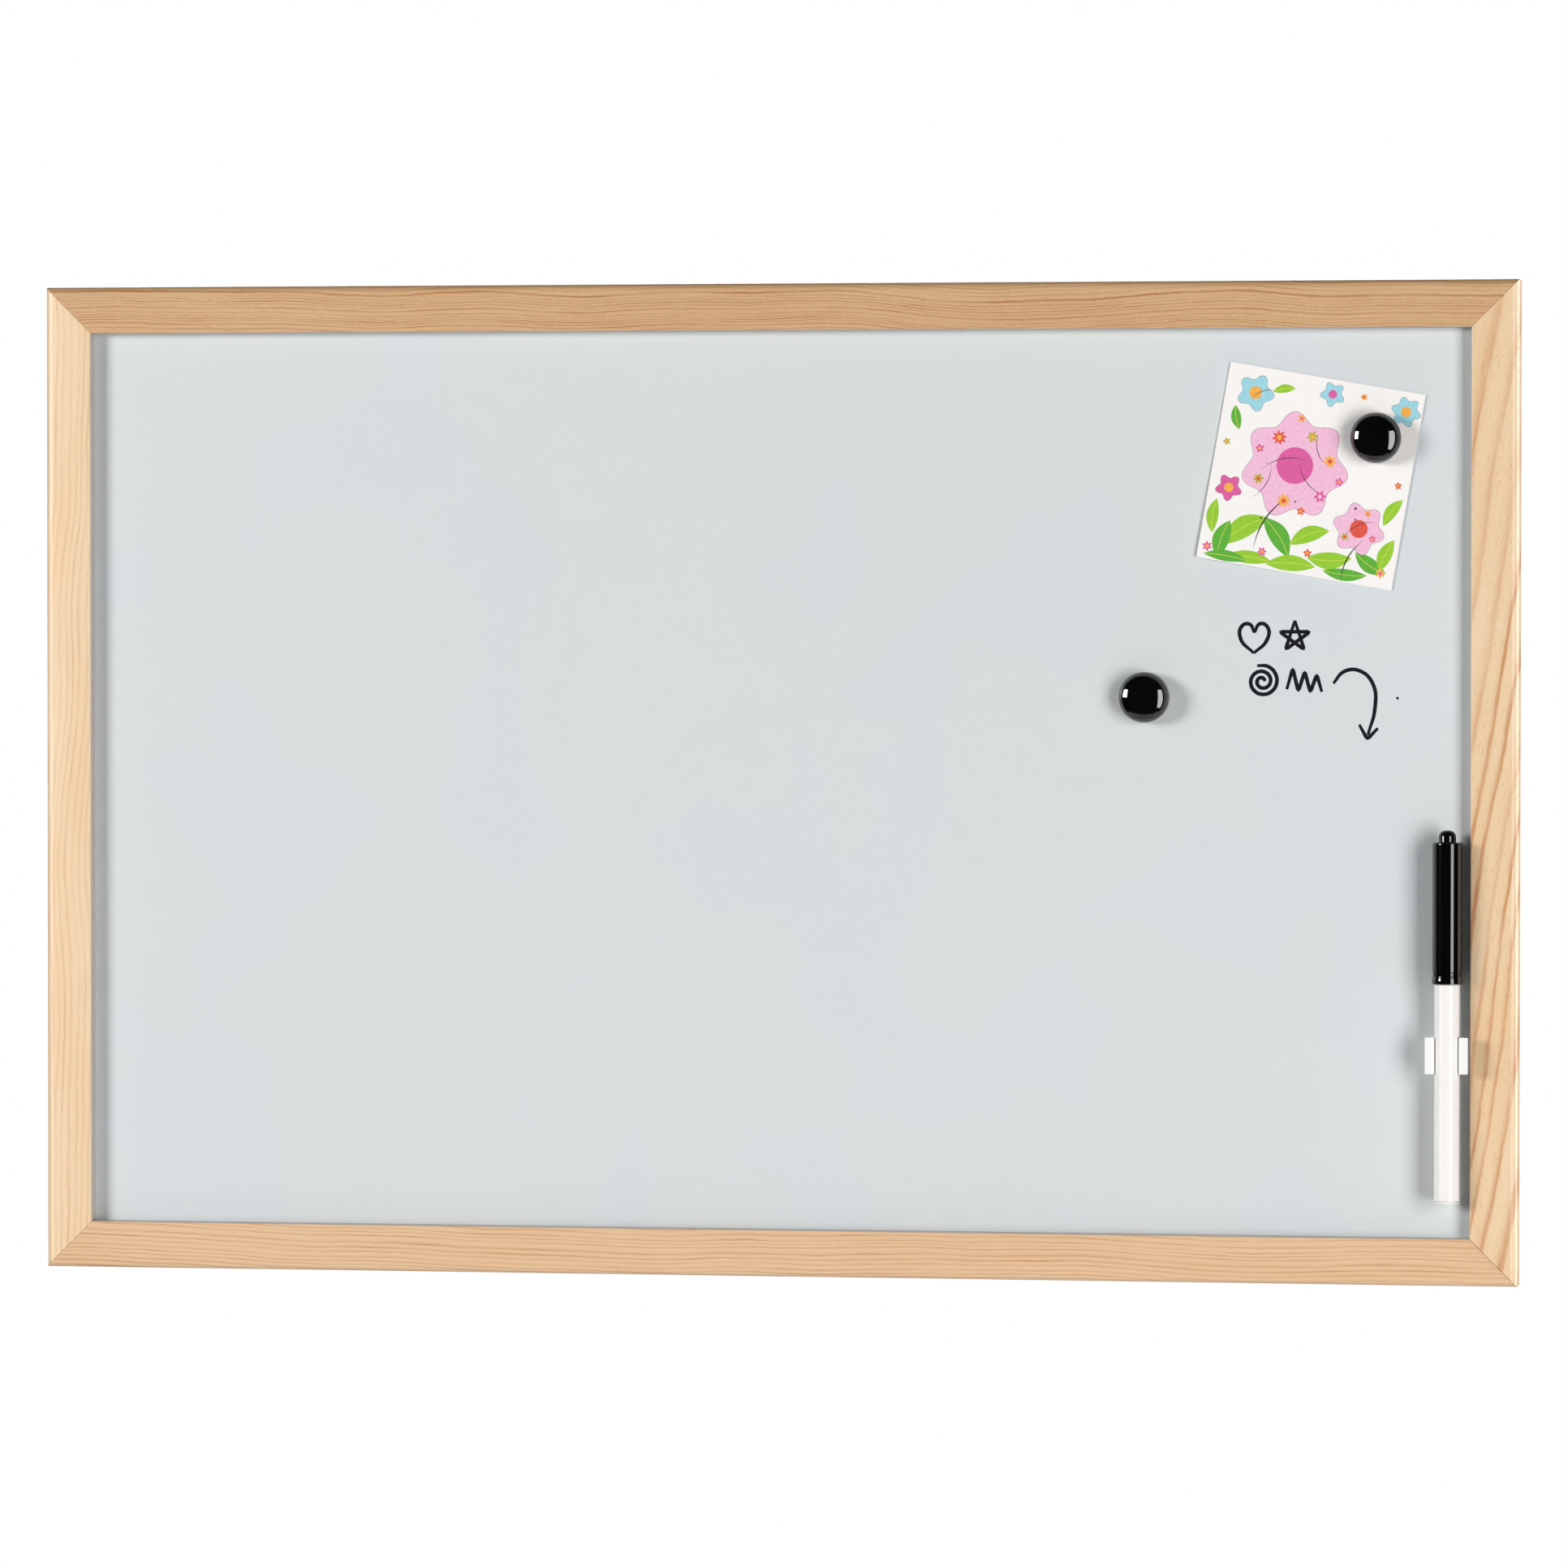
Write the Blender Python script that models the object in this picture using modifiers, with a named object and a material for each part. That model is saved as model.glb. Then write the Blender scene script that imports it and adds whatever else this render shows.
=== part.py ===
"""A magnetic whiteboard in a mitred pine frame, with its pen clip, marker, two magnets and a card.

Metres, +Z up. The board faces -Y, and the backs of its rails lie in the plane y = 0.
The origin is midway between the two hangers, on the line where their teeth take the wall screws.
"""

import math

import bmesh
import bpy
from mathutils import Matrix, Vector

# Clearance kept between pieces that touch
GAP = 0.0003

# Frame rails
BOARD_WIDTH = 0.600
BOARD_HEIGHT = 0.400
RAIL_FACE = 0.019
RAIL_DEPTH = 0.015
OUTER_ROUND = 0.0032
INNER_ROUND = 0.0008
BACK_CHAMFER = 0.0006
LIP_WIDTH = 0.007
LIP_DEPTH = 0.0057
MITRE_GAP = 0.0003

# Sheet and its backing, in the rebate behind the lip
SHEET_THICKNESS = 0.0005
BACKING_THICKNESS = 0.005
PANEL_EDGE_GAP = 0.0005

# V-nails pressed into the backs of the mitres
CORNER_NAIL_LEG = 0.005
CORNER_NAIL_THICKNESS = 0.0008
CORNER_NAIL_DEPTH = 0.007
CORNER_NAIL_INSET = 0.004

# Flat points that hold the backing in
POINT_WIDTH = 0.008
POINT_TIP_WIDTH = 0.003
POINT_THICKNESS = 0.0006
POINT_BURIED = 0.0065
POINT_SHOWING = 0.0075
POINT_TAPER = 0.0025
POINT_PAST_HANGER = 0.020
POINT_FROM_CORNER = 0.058
POINT_PITCH_SHORT = 0.180

# Toothed hangers on the back of the top rail
HANGER_SPACING = 0.400
HANGER_DROP = 0.0062
HANGER_LENGTH = 0.044
HANGER_HEIGHT = 0.008
HANGER_THICKNESS = 0.0009
HANGER_STANDOFF = 0.0014
HANGER_EAR = 0.009
HANGER_RAMP = 0.003
TOOTH_PITCH = 0.002
TOOTH_DEPTH = 0.0012
TOOTHED_LENGTH = 0.018

# Nails of the hangers
NAIL_SHANK_RADIUS = 0.0006
NAIL_HEAD_RADIUS = 0.0016
NAIL_HEAD_HEIGHT = 0.0007
NAIL_LENGTH = 0.009
NAIL_POINT_LENGTH = 0.0018
NAIL_FLAT_SHARE = 0.6
NAIL_CROWN_SHARE = 0.15

# Pen clip: a bent strip that springs round the barrel, stuck on with a pad
CLIP_HEIGHT = 0.0145
CLIP_WALL = 0.0012
CLIP_BASE_WIDTH = 0.009
CLIP_HALF_WIDTH = 0.0085
CLIP_GRIP_ANGLE = math.radians(24)
CLIP_BEND = 0.0002
CLIP_RISE = 0.0848
PAD_THICKNESS = 0.001

# Marker
MARKER_RISE = 0.0332
BARREL_RADIUS = 0.005
BARREL_WALL = 0.0009
BARREL_LENGTH = 0.0870
BARREL_EDGE = 0.0003
NECK_LENGTH = 0.013
PLUG_FLANGE = 0.0008
PLUG_EDGE = 0.0005
PLUG_SPIGOT = 0.006
PLUG_LEAD = 0.001
HOLDER_SPIGOT = 0.004
HOLDER_FLANGE = 0.0012
HOLDER_SHOULDER = 0.001
HOLDER_LENGTH = 0.009
HOLDER_TIP_WALL = 0.0006
HOLDER_TIP_EDGE = 0.0004
NIB_RADIUS = 0.0017
NIB_SHOWING = 0.006

# Marker cap
CAP_LENGTH = 0.0562
CAP_RADIUS = 0.00585
CAP_WALL = 0.00105
CAP_CROWN = 0.0016
CAP_SHOULDER = 0.0006
COLLAR_HEIGHT = 0.0025
COLLAR_SWELL = 0.00015
GROOVE_WIDTH = 0.0006
GROOVE_DEPTH = 0.0003
KNOB_RADIUS = 0.00345
KNOB_HEIGHT = 0.0048
KNOB_ROUND = 0.0022

# Magnets
MAGNET_RADIUS = 0.0101
MAGNET_HEIGHT = 0.0095
MAGNET_DOME_RADIUS = 0.018
MAGNET_FLANK = 0.0018
MAGNET_FLANK_TOP_TILT = math.radians(47)
MAGNET_FLANK_FOOT_TILT = math.radians(80)
MAGNET_EDGE = 0.0004
MAGNET_WALL = 0.0022
CORE_THICKNESS = 0.003
FREE_MAGNET_FROM_RIGHT = 0.1495
FREE_MAGNET_FROM_TOP = 0.1661

# Card
CARD_SIZE = 0.079
CARD_THICKNESS = 0.00035
CARD_TURN = math.radians(9.9)
CARD_FROM_RIGHT = 0.0831
CARD_FROM_TOP = 0.0778
CARD_MAGNET_ACROSS = 0.0261
CARD_MAGNET_UP = 0.0151

# Steps of round stretches, and the distance within which points are welded
RING_STEPS = 9
ROUND_STEPS = 5
EDGE_STEPS = 3
FINE_TURN = 32
SMALL_TURN = 12
WELD = 0.000005

# Places worked out from the sizes above
TOP_Z = HANGER_DROP + HANGER_HEIGHT / 2 - TOOTH_DEPTH
BOTTOM_Z = TOP_Z - BOARD_HEIGHT
MIDDLE_Z = TOP_Z - BOARD_HEIGHT / 2
RIGHT_X = BOARD_WIDTH / 2
REBATE_WALL = RAIL_FACE - LIP_WIDTH
FRONT_Y = -RAIL_DEPTH
SHEET_FRONT_Y = FRONT_Y + LIP_DEPTH + GAP
SHEET_BACK_Y = SHEET_FRONT_Y + SHEET_THICKNESS
BACKING_FRONT_Y = SHEET_BACK_Y + GAP
BACKING_BACK_Y = BACKING_FRONT_Y + BACKING_THICKNESS
PANEL_WIDTH = BOARD_WIDTH - 2 * (REBATE_WALL + PANEL_EDGE_GAP)
PANEL_HEIGHT = BOARD_HEIGHT - 2 * (REBATE_WALL + PANEL_EDGE_GAP)
CLIP_BORE = BARREL_RADIUS + GAP
PAD_FRONT_Y = SHEET_FRONT_Y - GAP - PAD_THICKNESS
MARKER_X = RIGHT_X - RAIL_FACE - GAP - CLIP_HALF_WIDTH
MARKER_Y = PAD_FRONT_Y - GAP - CLIP_WALL - CLIP_BORE
FOOT_Z = BOTTOM_Z + MARKER_RISE
CLIP_Z = BOTTOM_Z + CLIP_RISE + CLIP_HEIGHT / 2
BORE_RADIUS = BARREL_RADIUS - BARREL_WALL
CAP_BORE = CAP_RADIUS - CAP_WALL
NECK_RADIUS = CAP_BORE - GAP
NECK_BORE = NECK_RADIUS - BARREL_WALL
CAP_MOUTH_Z = FOOT_Z + BARREL_LENGTH + GAP
NECK_TOP_Z = FOOT_Z + BARREL_LENGTH + NECK_LENGTH
CARD_X = RIGHT_X - CARD_FROM_RIGHT
CARD_Z = TOP_Z - CARD_FROM_TOP
CARD_BACK_Y = SHEET_FRONT_Y - GAP
CARD_FRONT_Y = CARD_BACK_Y - CARD_THICKNESS

for leftover in list(bpy.data.objects):
    bpy.data.objects.remove(leftover, do_unlink=True)


def new_collection(name):
    collection = bpy.data.collections.new(name)
    bpy.context.scene.collection.children.link(collection)
    return collection


parts = new_collection("whiteboard")
cutters = new_collection("cutters")


def make_material(name, color, roughness, metallic=0.0):
    material = bpy.data.materials.new(name)
    material.use_nodes = True
    shader = material.node_tree.nodes["Principled BSDF"]
    shader.inputs["Base Color"].default_value = (*color, 1.0)
    shader.inputs["Roughness"].default_value = roughness
    shader.inputs["Metallic"].default_value = metallic
    return material


PINE_PALE = make_material("pine_pale", (0.86, 0.68, 0.44), 0.5)
PINE_TAN = make_material("pine_tan", (0.66, 0.42, 0.22), 0.5)
PINE_WARM = make_material("pine_warm", (0.80, 0.57, 0.34), 0.5)
ENAMEL = make_material("white_enamel", (0.72, 0.76, 0.78), 0.18)
FIBREBOARD = make_material("fibreboard", (0.30, 0.18, 0.10), 0.8)
ZINC = make_material("zinc_steel", (0.60, 0.61, 0.62), 0.35, 1.0)
NAIL_STEEL = make_material("nail_steel", (0.45, 0.45, 0.46), 0.3, 1.0)
CLIP_WHITE = make_material("clip_white", (0.86, 0.86, 0.85), 0.35)
PAD_FOAM = make_material("pad_foam", (0.80, 0.80, 0.78), 0.9)
BARREL_WHITE = make_material("barrel_white", (0.88, 0.87, 0.86), 0.3)
CAP_BLACK = make_material("cap_black", (0.006, 0.006, 0.007), 0.15)
FELT = make_material("felt", (0.02, 0.02, 0.02), 0.95)
MAGNET_BLACK = make_material("magnet_black", (0.008, 0.008, 0.009), 0.1)
FERRITE = make_material("ferrite", (0.05, 0.05, 0.055), 0.6, 0.3)
CARD_STOCK = make_material("card_stock", (0.88, 0.88, 0.87), 0.7)


def frame_matrix(origin, x_axis, y_axis):
    """Matrix that carries local x and y onto two square directions, at an origin."""
    z_axis = Vector(x_axis).cross(Vector(y_axis))
    turn = Matrix((x_axis, y_axis, z_axis)).transposed().to_4x4()
    return Matrix.Translation(Vector(origin)) @ turn


def link_object(name, mesh, material, collection):
    thing = bpy.data.objects.new(name, mesh)
    collection.objects.link(thing)
    if material:
        mesh.materials.append(material)
    if collection == cutters:
        thing.hide_render = True
        thing.display_type = "WIRE"
    return thing


def outline_curve(name, points, thickness):
    """Flat closed outline in local XY, filled on both sides, as thick as asked and centred on z = 0."""
    curve = bpy.data.curves.new(name, "CURVE")
    curve.dimensions = "2D"
    curve.fill_mode = "BOTH"
    curve.extrude = thickness / 2
    spline = curve.splines.new("POLY")
    spline.points.add(len(points) - 1)
    for spot, (x, y) in zip(spline.points, points):
        spot.co = (x, y, 0, 1)
    spline.use_cyclic_u = True
    return curve


def extrude_outline(name, points, thickness, matrix, material=None, collection=parts):
    """Closed mesh object from a flat outline, placed by a matrix."""
    source = bpy.data.objects.new(name + "_outline", outline_curve(name, points, thickness))
    bpy.context.scene.collection.objects.link(source)
    source.matrix_world = matrix
    bpy.context.view_layer.update()
    evaluated = source.evaluated_get(bpy.context.evaluated_depsgraph_get())
    mesh = bpy.data.meshes.new_from_object(evaluated)
    mesh.materials.clear()
    welded = bmesh.new()
    welded.from_mesh(mesh)
    bmesh.ops.remove_doubles(welded, verts=welded.verts, dist=WELD)
    bmesh.ops.recalc_face_normals(welded, faces=welded.faces)
    welded.to_mesh(mesh)
    welded.free()
    bpy.data.objects.remove(source, do_unlink=True)
    thing = link_object(name, mesh, material, collection)
    thing.matrix_world = matrix
    return thing


def add_block(name, size, centre, material, turn=0.0):
    """Box of a given size round a centre, turned about Y."""
    shaped = bmesh.new()
    bmesh.ops.create_cube(shaped, size=1.0, matrix=Matrix.Diagonal((*size, 1.0)))
    mesh = bpy.data.meshes.new(name)
    shaped.to_mesh(mesh)
    shaped.free()
    block = link_object(name, mesh, material, parts)
    block.location = centre
    block.rotation_euler = (0, turn, 0)


def turn_profile(name, profile, steps, matrix, material=None, collection=parts):
    """Solid of revolution about local Z from (radius, height) points that run down the outer side."""
    drawn = bmesh.new()
    spots = [drawn.verts.new((radius, 0, height)) for radius, height in profile]
    for start, end in zip(spots, spots[1:]):
        drawn.edges.new((start, end))
    if profile[0][0] > 0:
        drawn.edges.new((spots[-1], spots[0]))
    mesh = bpy.data.meshes.new(name)
    drawn.to_mesh(mesh)
    drawn.free()
    thing = link_object(name, mesh, material, collection)
    thing.matrix_world = matrix
    screw = thing.modifiers.new("turned", "SCREW")
    screw.axis = "Z"
    screw.angle = math.tau
    screw.steps = steps
    screw.render_steps = steps
    screw.use_merge_vertices = True
    screw.merge_threshold = WELD
    screw.use_smooth_shade = True
    return thing


def cut(target, cutter):
    boolean = target.modifiers.new("cut " + cutter.name, "BOOLEAN")
    boolean.operation = "DIFFERENCE"
    boolean.solver = "EXACT"
    boolean.object = cutter


def bake_cuts(target):
    """Make the cuts part of the mesh and close the hairline slits that they can leave."""
    graph = bpy.context.evaluated_depsgraph_get()
    mesh = bpy.data.meshes.new_from_object(target.evaluated_get(graph))
    closed = bmesh.new()
    closed.from_mesh(mesh)
    slits = [edge for edge in closed.edges if edge.is_boundary]
    bmesh.ops.holes_fill(closed, edges=slits, sides=3)
    bmesh.ops.dissolve_degenerate(closed, dist=WELD, edges=slits)
    closed.to_mesh(mesh)
    closed.free()
    target.modifiers.clear()
    target.data = mesh


def arc_points(centre, radius, start, end, steps):
    """Points on an arc, both ends included, as a profile or an outline needs them."""
    turned = [start + (end - start) * step / steps for step in range(steps + 1)]
    return [(centre[0] + radius * math.cos(a), centre[1] + radius * math.sin(a)) for a in turned]


def rail_section():
    """Moulding section: x runs inwards from the outer edge, y forwards from the back."""
    quarter = math.pi / 2
    outer = (OUTER_ROUND, RAIL_DEPTH - OUTER_ROUND)
    inner = (RAIL_FACE - INNER_ROUND, RAIL_DEPTH - INNER_ROUND)
    points = [(BACK_CHAMFER, 0), (REBATE_WALL, 0)]
    points += [(REBATE_WALL, RAIL_DEPTH - LIP_DEPTH), (RAIL_FACE, RAIL_DEPTH - LIP_DEPTH)]
    points += arc_points(inner, INNER_ROUND, 0, quarter, EDGE_STEPS)
    points += arc_points(outer, OUTER_ROUND, quarter, 2 * quarter, ROUND_STEPS)
    points.append((0, BACK_CHAMFER))
    return points


def bisect_end(mesh, point, normal):
    """Saw the end off a closed mesh along a plane and close it again."""
    sawn = bmesh.new()
    sawn.from_mesh(mesh)
    everything = sawn.verts[:] + sawn.edges[:] + sawn.faces[:]
    bmesh.ops.bisect_plane(sawn, geom=everything, plane_co=point, plane_no=normal, clear_outer=True)
    rim = [edge for edge in sawn.edges if edge.is_boundary]
    bmesh.ops.holes_fill(sawn, edges=rim)
    bmesh.ops.recalc_face_normals(sawn, faces=sawn.faces)
    sawn.to_mesh(mesh)
    sawn.free()


def make_rail(name, length, middle, inward, material):
    """Mitred rail: a moulding as long as its outer edge, sawn off at 45 degrees at both ends."""
    place = frame_matrix(middle, inward, (0, -1, 0))
    rail = extrude_outline(name, rail_section(), length, place, material)
    for side in (-1, 1):
        normal = Vector((1, 0, side)).normalized()
        corner = Vector((0, 0, side * length / 2)) - normal * MITRE_GAP / 2
        bisect_end(rail.data, corner, normal)
    return rail


left_mid = (-RIGHT_X, 0, MIDDLE_Z)
right_mid = (RIGHT_X, 0, MIDDLE_Z)
rails = {
    "top": make_rail("rail_top", BOARD_WIDTH, (0, 0, TOP_Z), (0, 0, -1), PINE_TAN),
    "bottom": make_rail("rail_bottom", BOARD_WIDTH, (0, 0, BOTTOM_Z), (0, 0, 1), PINE_WARM),
    "left": make_rail("rail_left", BOARD_HEIGHT, left_mid, (1, 0, 0), PINE_PALE),
    "right": make_rail("rail_right", BOARD_HEIGHT, right_mid, (-1, 0, 0), PINE_WARM),
}

# The steel writing sheet and the fibreboard behind it
sheet_middle = (0, (SHEET_FRONT_Y + SHEET_BACK_Y) / 2, MIDDLE_Z)
backing_middle = (0, (BACKING_FRONT_Y + BACKING_BACK_Y) / 2, MIDDLE_Z)
add_block("writing_sheet", (PANEL_WIDTH, SHEET_THICKNESS, PANEL_HEIGHT), sheet_middle, ENAMEL)
add_block("backing_panel", (PANEL_WIDTH, BACKING_THICKNESS, PANEL_HEIGHT), backing_middle, FIBREBOARD)


def corner_nail_outline(spare):
    """Right-angled strip whose legs run along the two rails from its bend, grown by a clearance."""
    half = CORNER_NAIL_THICKNESS / 2 + spare
    reach = CORNER_NAIL_LEG + spare
    return [(-half, -half), (reach, -half), (reach, half), (half, half), (half, reach), (-half, reach)]


def add_corner_nail(name, side, level, upright, flat):
    """V-nail across one mitre, with its pocket cut in both rails."""
    bend_x = side * (RIGHT_X - CORNER_NAIL_INSET)
    bend_z = level + upright * CORNER_NAIL_INSET
    depth = CORNER_NAIL_DEPTH
    place = frame_matrix((bend_x, -GAP - depth / 2, bend_z), (-side, 0, 0), (0, 0, upright))
    extrude_outline(name, corner_nail_outline(0), depth, place, ZINC)
    pocket_depth = depth + 4 * GAP
    pocket = extrude_outline(name + "_pocket", corner_nail_outline(GAP), pocket_depth, place, None, cutters)
    pocket.location.y = -depth / 2
    cut(rails[flat], pocket)
    cut(rails["left" if side < 0 else "right"], pocket)


add_corner_nail("corner_nail_top_left", -1, TOP_Z, -1, "top")
add_corner_nail("corner_nail_top_right", 1, TOP_Z, -1, "top")
add_corner_nail("corner_nail_bottom_left", -1, BOTTOM_Z, 1, "bottom")
add_corner_nail("corner_nail_bottom_right", 1, BOTTOM_Z, 1, "bottom")


def point_outline(spare):
    """Flat steel point: x runs out of the wood over the backing, its buried end tapers."""
    half = POINT_WIDTH / 2 + spare
    tip = POINT_TIP_WIDTH / 2 + spare
    deep = -POINT_BURIED - spare
    shoulder = deep + POINT_TAPER
    left_edge = [(deep, -tip), (shoulder, -half), (POINT_SHOWING, -half)]
    return left_edge + [(x, -y) for x, y in reversed(left_edge)]


def add_back_point(name, rail, wall, inward):
    """Point driven into the rebate wall of a rail, just behind the backing."""
    level = BACKING_BACK_Y + GAP + POINT_THICKNESS / 2
    across = Vector((0, 1, 0)).cross(Vector(inward))
    place = frame_matrix((wall[0], level, wall[1]), inward, across)
    extrude_outline(name, point_outline(0), POINT_THICKNESS, place, ZINC)
    slot_height = POINT_THICKNESS + 2 * GAP
    slot = extrude_outline(name + "_slot", point_outline(GAP), slot_height, place, None, cutters)
    cut(rails[rail], slot)


hanger_end = (HANGER_SPACING + HANGER_LENGTH) / 2
hanger_share = POINT_PAST_HANGER / (POINT_PAST_HANGER + POINT_FROM_CORNER)
past_hanger = hanger_end + (RIGHT_X - hanger_end) * hanger_share
near_corner = RIGHT_X - POINT_FROM_CORNER
for number, side in enumerate((-1, 0, 1), start=1):
    over = (side * past_hanger, TOP_Z - REBATE_WALL)
    under = (side * near_corner, BOTTOM_Z + REBATE_WALL)
    add_back_point(f"back_point_top_{number}", "top", over, (0, 0, -1))
    add_back_point(f"back_point_bottom_{number}", "bottom", under, (0, 0, 1))
for number, side in enumerate((-1, 1), start=1):
    level = MIDDLE_Z + side * POINT_PITCH_SHORT / 2
    add_back_point(f"back_point_left_{number}", "left", (-RIGHT_X + REBATE_WALL, level), (1, 0, 0))
    add_back_point(f"back_point_right_{number}", "right", (RIGHT_X - REBATE_WALL, level), (-1, 0, 0))


def hanger_outline():
    """Edge view of the hanger: two ears on the wood, the toothed bridge bent clear of it between them."""
    half = HANGER_LENGTH / 2
    foot = half - HANGER_EAR
    shelf = foot - HANGER_RAMP
    near = GAP
    bridge = GAP + HANGER_STANDOFF
    wood_side = [(-half, near), (-foot, near), (-shelf, bridge), (shelf, bridge), (foot, near), (half, near)]
    wall_side = [(x, y + HANGER_THICKNESS) for x, y in reversed(wood_side)]
    return wood_side + wall_side


def teeth_outline():
    """Row of notches that opens downwards, as a cutter for the lower edge of the bridge."""
    count = int(TOOTHED_LENGTH / TOOTH_PITCH)
    below = -2 * TOOTH_DEPTH
    start = -count * TOOTH_PITCH / 2
    points = [(start, below), (start, 0)]
    for tooth in range(count):
        left = start + tooth * TOOTH_PITCH
        points += [(left + TOOTH_PITCH / 2, TOOTH_DEPTH), (left + TOOTH_PITCH, 0)]
    points.append((-start, below))
    return points


def nail_profile():
    """Nail with its head's top at z = 0 and its point down."""
    reach = -NAIL_HEAD_HEIGHT - NAIL_LENGTH
    return [
        (0, 0),
        (NAIL_HEAD_RADIUS * NAIL_FLAT_SHARE, -NAIL_HEAD_HEIGHT * NAIL_CROWN_SHARE),
        (NAIL_HEAD_RADIUS, -NAIL_HEAD_HEIGHT * NAIL_FLAT_SHARE),
        (NAIL_HEAD_RADIUS, -NAIL_HEAD_HEIGHT),
        (NAIL_SHANK_RADIUS, -NAIL_HEAD_HEIGHT),
        (NAIL_SHANK_RADIUS, reach + NAIL_POINT_LENGTH),
        (0, reach),
    ]


def bore_cutter(name, radius, start, direction, length):
    """Round cutter that runs from a point along a direction."""
    sideways = Vector(direction).orthogonal().normalized()
    place = frame_matrix(start, sideways, Vector(direction).cross(sideways))
    profile = [(0, length), (radius, length), (radius, 0), (0, 0)]
    return turn_profile(name, profile, SMALL_TURN, place, None, cutters)


def add_hanger(name, centre_x, nail_names):
    """Toothed hanger with its two nails, whose holes go through the ears into the rail."""
    level = TOP_Z - HANGER_DROP
    edge_on = frame_matrix((centre_x, 0, level), (1, 0, 0), (0, 1, 0))
    hanger = extrude_outline(name, hanger_outline(), HANGER_HEIGHT, edge_on, ZINC)
    bridge_y = GAP + HANGER_STANDOFF + HANGER_THICKNESS / 2
    lower_edge = level - HANGER_HEIGHT / 2
    face_on = frame_matrix((centre_x, bridge_y, lower_edge), (1, 0, 0), (0, 0, 1))
    thick = 2 * HANGER_THICKNESS
    cut(hanger, extrude_outline(name + "_teeth", teeth_outline(), thick, face_on, None, cutters))
    ear_y = GAP + HANGER_THICKNESS
    head_y = ear_y + GAP + NAIL_HEAD_HEIGHT
    hole = NAIL_SHANK_RADIUS + GAP
    for nail_name, side in zip(nail_names, (-1, 1)):
        nail_x = centre_x + side * (HANGER_LENGTH - HANGER_EAR) / 2
        place = frame_matrix((nail_x, head_y, level), (1, 0, 0), (0, 0, -1))
        turn_profile(nail_name, nail_profile(), SMALL_TURN, place, NAIL_STEEL)
        tip_y = head_y - NAIL_HEAD_HEIGHT - NAIL_LENGTH - GAP
        drill = bore_cutter(nail_name + "_hole", hole, (nail_x, tip_y, level), (0, 1, 0), head_y - tip_y)
        cut(hanger, drill)
        cut(rails["top"], drill)


half_spacing = HANGER_SPACING / 2
add_hanger("hanger_left", -half_spacing, ("hanger_nail_left_outer", "hanger_nail_left_inner"))
add_hanger("hanger_right", half_spacing, ("hanger_nail_right_inner", "hanger_nail_right_outer"))
for rail in rails.values():
    bake_cuts(rail)


def clip_half(side):
    """Inner and outer side of the bent strip's half, each from the base round the bend to the lip's end."""
    quarter = math.pi / 2
    outer = CLIP_BORE + CLIP_WALL
    grip = CLIP_GRIP_ANGLE
    low = math.asin(CLIP_BASE_WIDTH / 2 / outer) - quarter
    bend_at = outer + CLIP_BEND
    bend_centre = (bend_at * math.cos(grip), bend_at * math.sin(grip))
    wide_bend = CLIP_BEND + CLIP_WALL
    inside = arc_points((0, 0), CLIP_BORE, -quarter, grip, RING_STEPS)[:-1]
    inside += arc_points(bend_centre, wide_bend, grip + math.pi, quarter, ROUND_STEPS)
    inside.append((CLIP_HALF_WIDTH, bend_centre[1] + wide_bend))
    outside = [(outer * math.cos(low), -outer)]
    outside += arc_points((0, 0), outer, low, grip, RING_STEPS)[:-1]
    outside += arc_points(bend_centre, CLIP_BEND, grip + math.pi, quarter, EDGE_STEPS)
    outside.append((CLIP_HALF_WIDTH, bend_centre[1] + CLIP_BEND))
    return [(side * x, y) for x, y in inside], [(side * x, y) for x, y in outside]


def clip_outline():
    """Open ring that grips the barrel past its widest line, on a flat base, with flared lips."""
    right_in, right_out = clip_half(1)
    left_in, left_out = clip_half(-1)
    return right_in + right_out[::-1] + left_out + left_in[:0:-1]


# The pen clip stands on its pad with its mouth towards the viewer
clip_place = frame_matrix((MARKER_X, MARKER_Y, CLIP_Z), (1, 0, 0), (0, -1, 0))
extrude_outline("pen_clip", clip_outline(), CLIP_HEIGHT, clip_place, CLIP_WHITE)
pad_size = (CLIP_BASE_WIDTH, PAD_THICKNESS, CLIP_HEIGHT - 2 * GAP)
add_block("clip_pad", pad_size, (MARKER_X, PAD_FRONT_Y + PAD_THICKNESS / 2, CLIP_Z), PAD_FOAM)


def upright(height):
    """Matrix that stands a turned piece on the marker's axis at a height."""
    return Matrix.Translation((MARKER_X, MARKER_Y, height))


def barrel_profile():
    """Barrel with a stepped neck for the cap, whose bore narrows in the neck; z = 0 at the marker's foot."""
    foot = PLUG_FLANGE + GAP
    shoulder = BARREL_LENGTH
    neck_top = BARREL_LENGTH + NECK_LENGTH
    edge = BARREL_EDGE
    return [
        (NECK_BORE, neck_top),
        (NECK_RADIUS - edge, neck_top),
        (NECK_RADIUS, neck_top - edge),
        (NECK_RADIUS, shoulder),
        (BARREL_RADIUS - edge, shoulder),
        (BARREL_RADIUS, shoulder - edge),
        (BARREL_RADIUS, foot),
        (BORE_RADIUS, foot),
        (BORE_RADIUS, shoulder - BARREL_WALL),
        (NECK_BORE, shoulder),
    ]


def plug_profile():
    """End plug: a thin flange under the barrel and a tapered spigot in its bore."""
    spigot = BORE_RADIUS - GAP
    top = PLUG_FLANGE + PLUG_SPIGOT
    return [
        (0, top),
        (spigot - PLUG_EDGE, top),
        (spigot, top - PLUG_LEAD),
        (spigot, PLUG_FLANGE),
        (BARREL_RADIUS, PLUG_FLANGE),
        (BARREL_RADIUS, PLUG_EDGE),
        (BARREL_RADIUS - PLUG_EDGE, 0),
        (0, 0),
    ]


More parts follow.
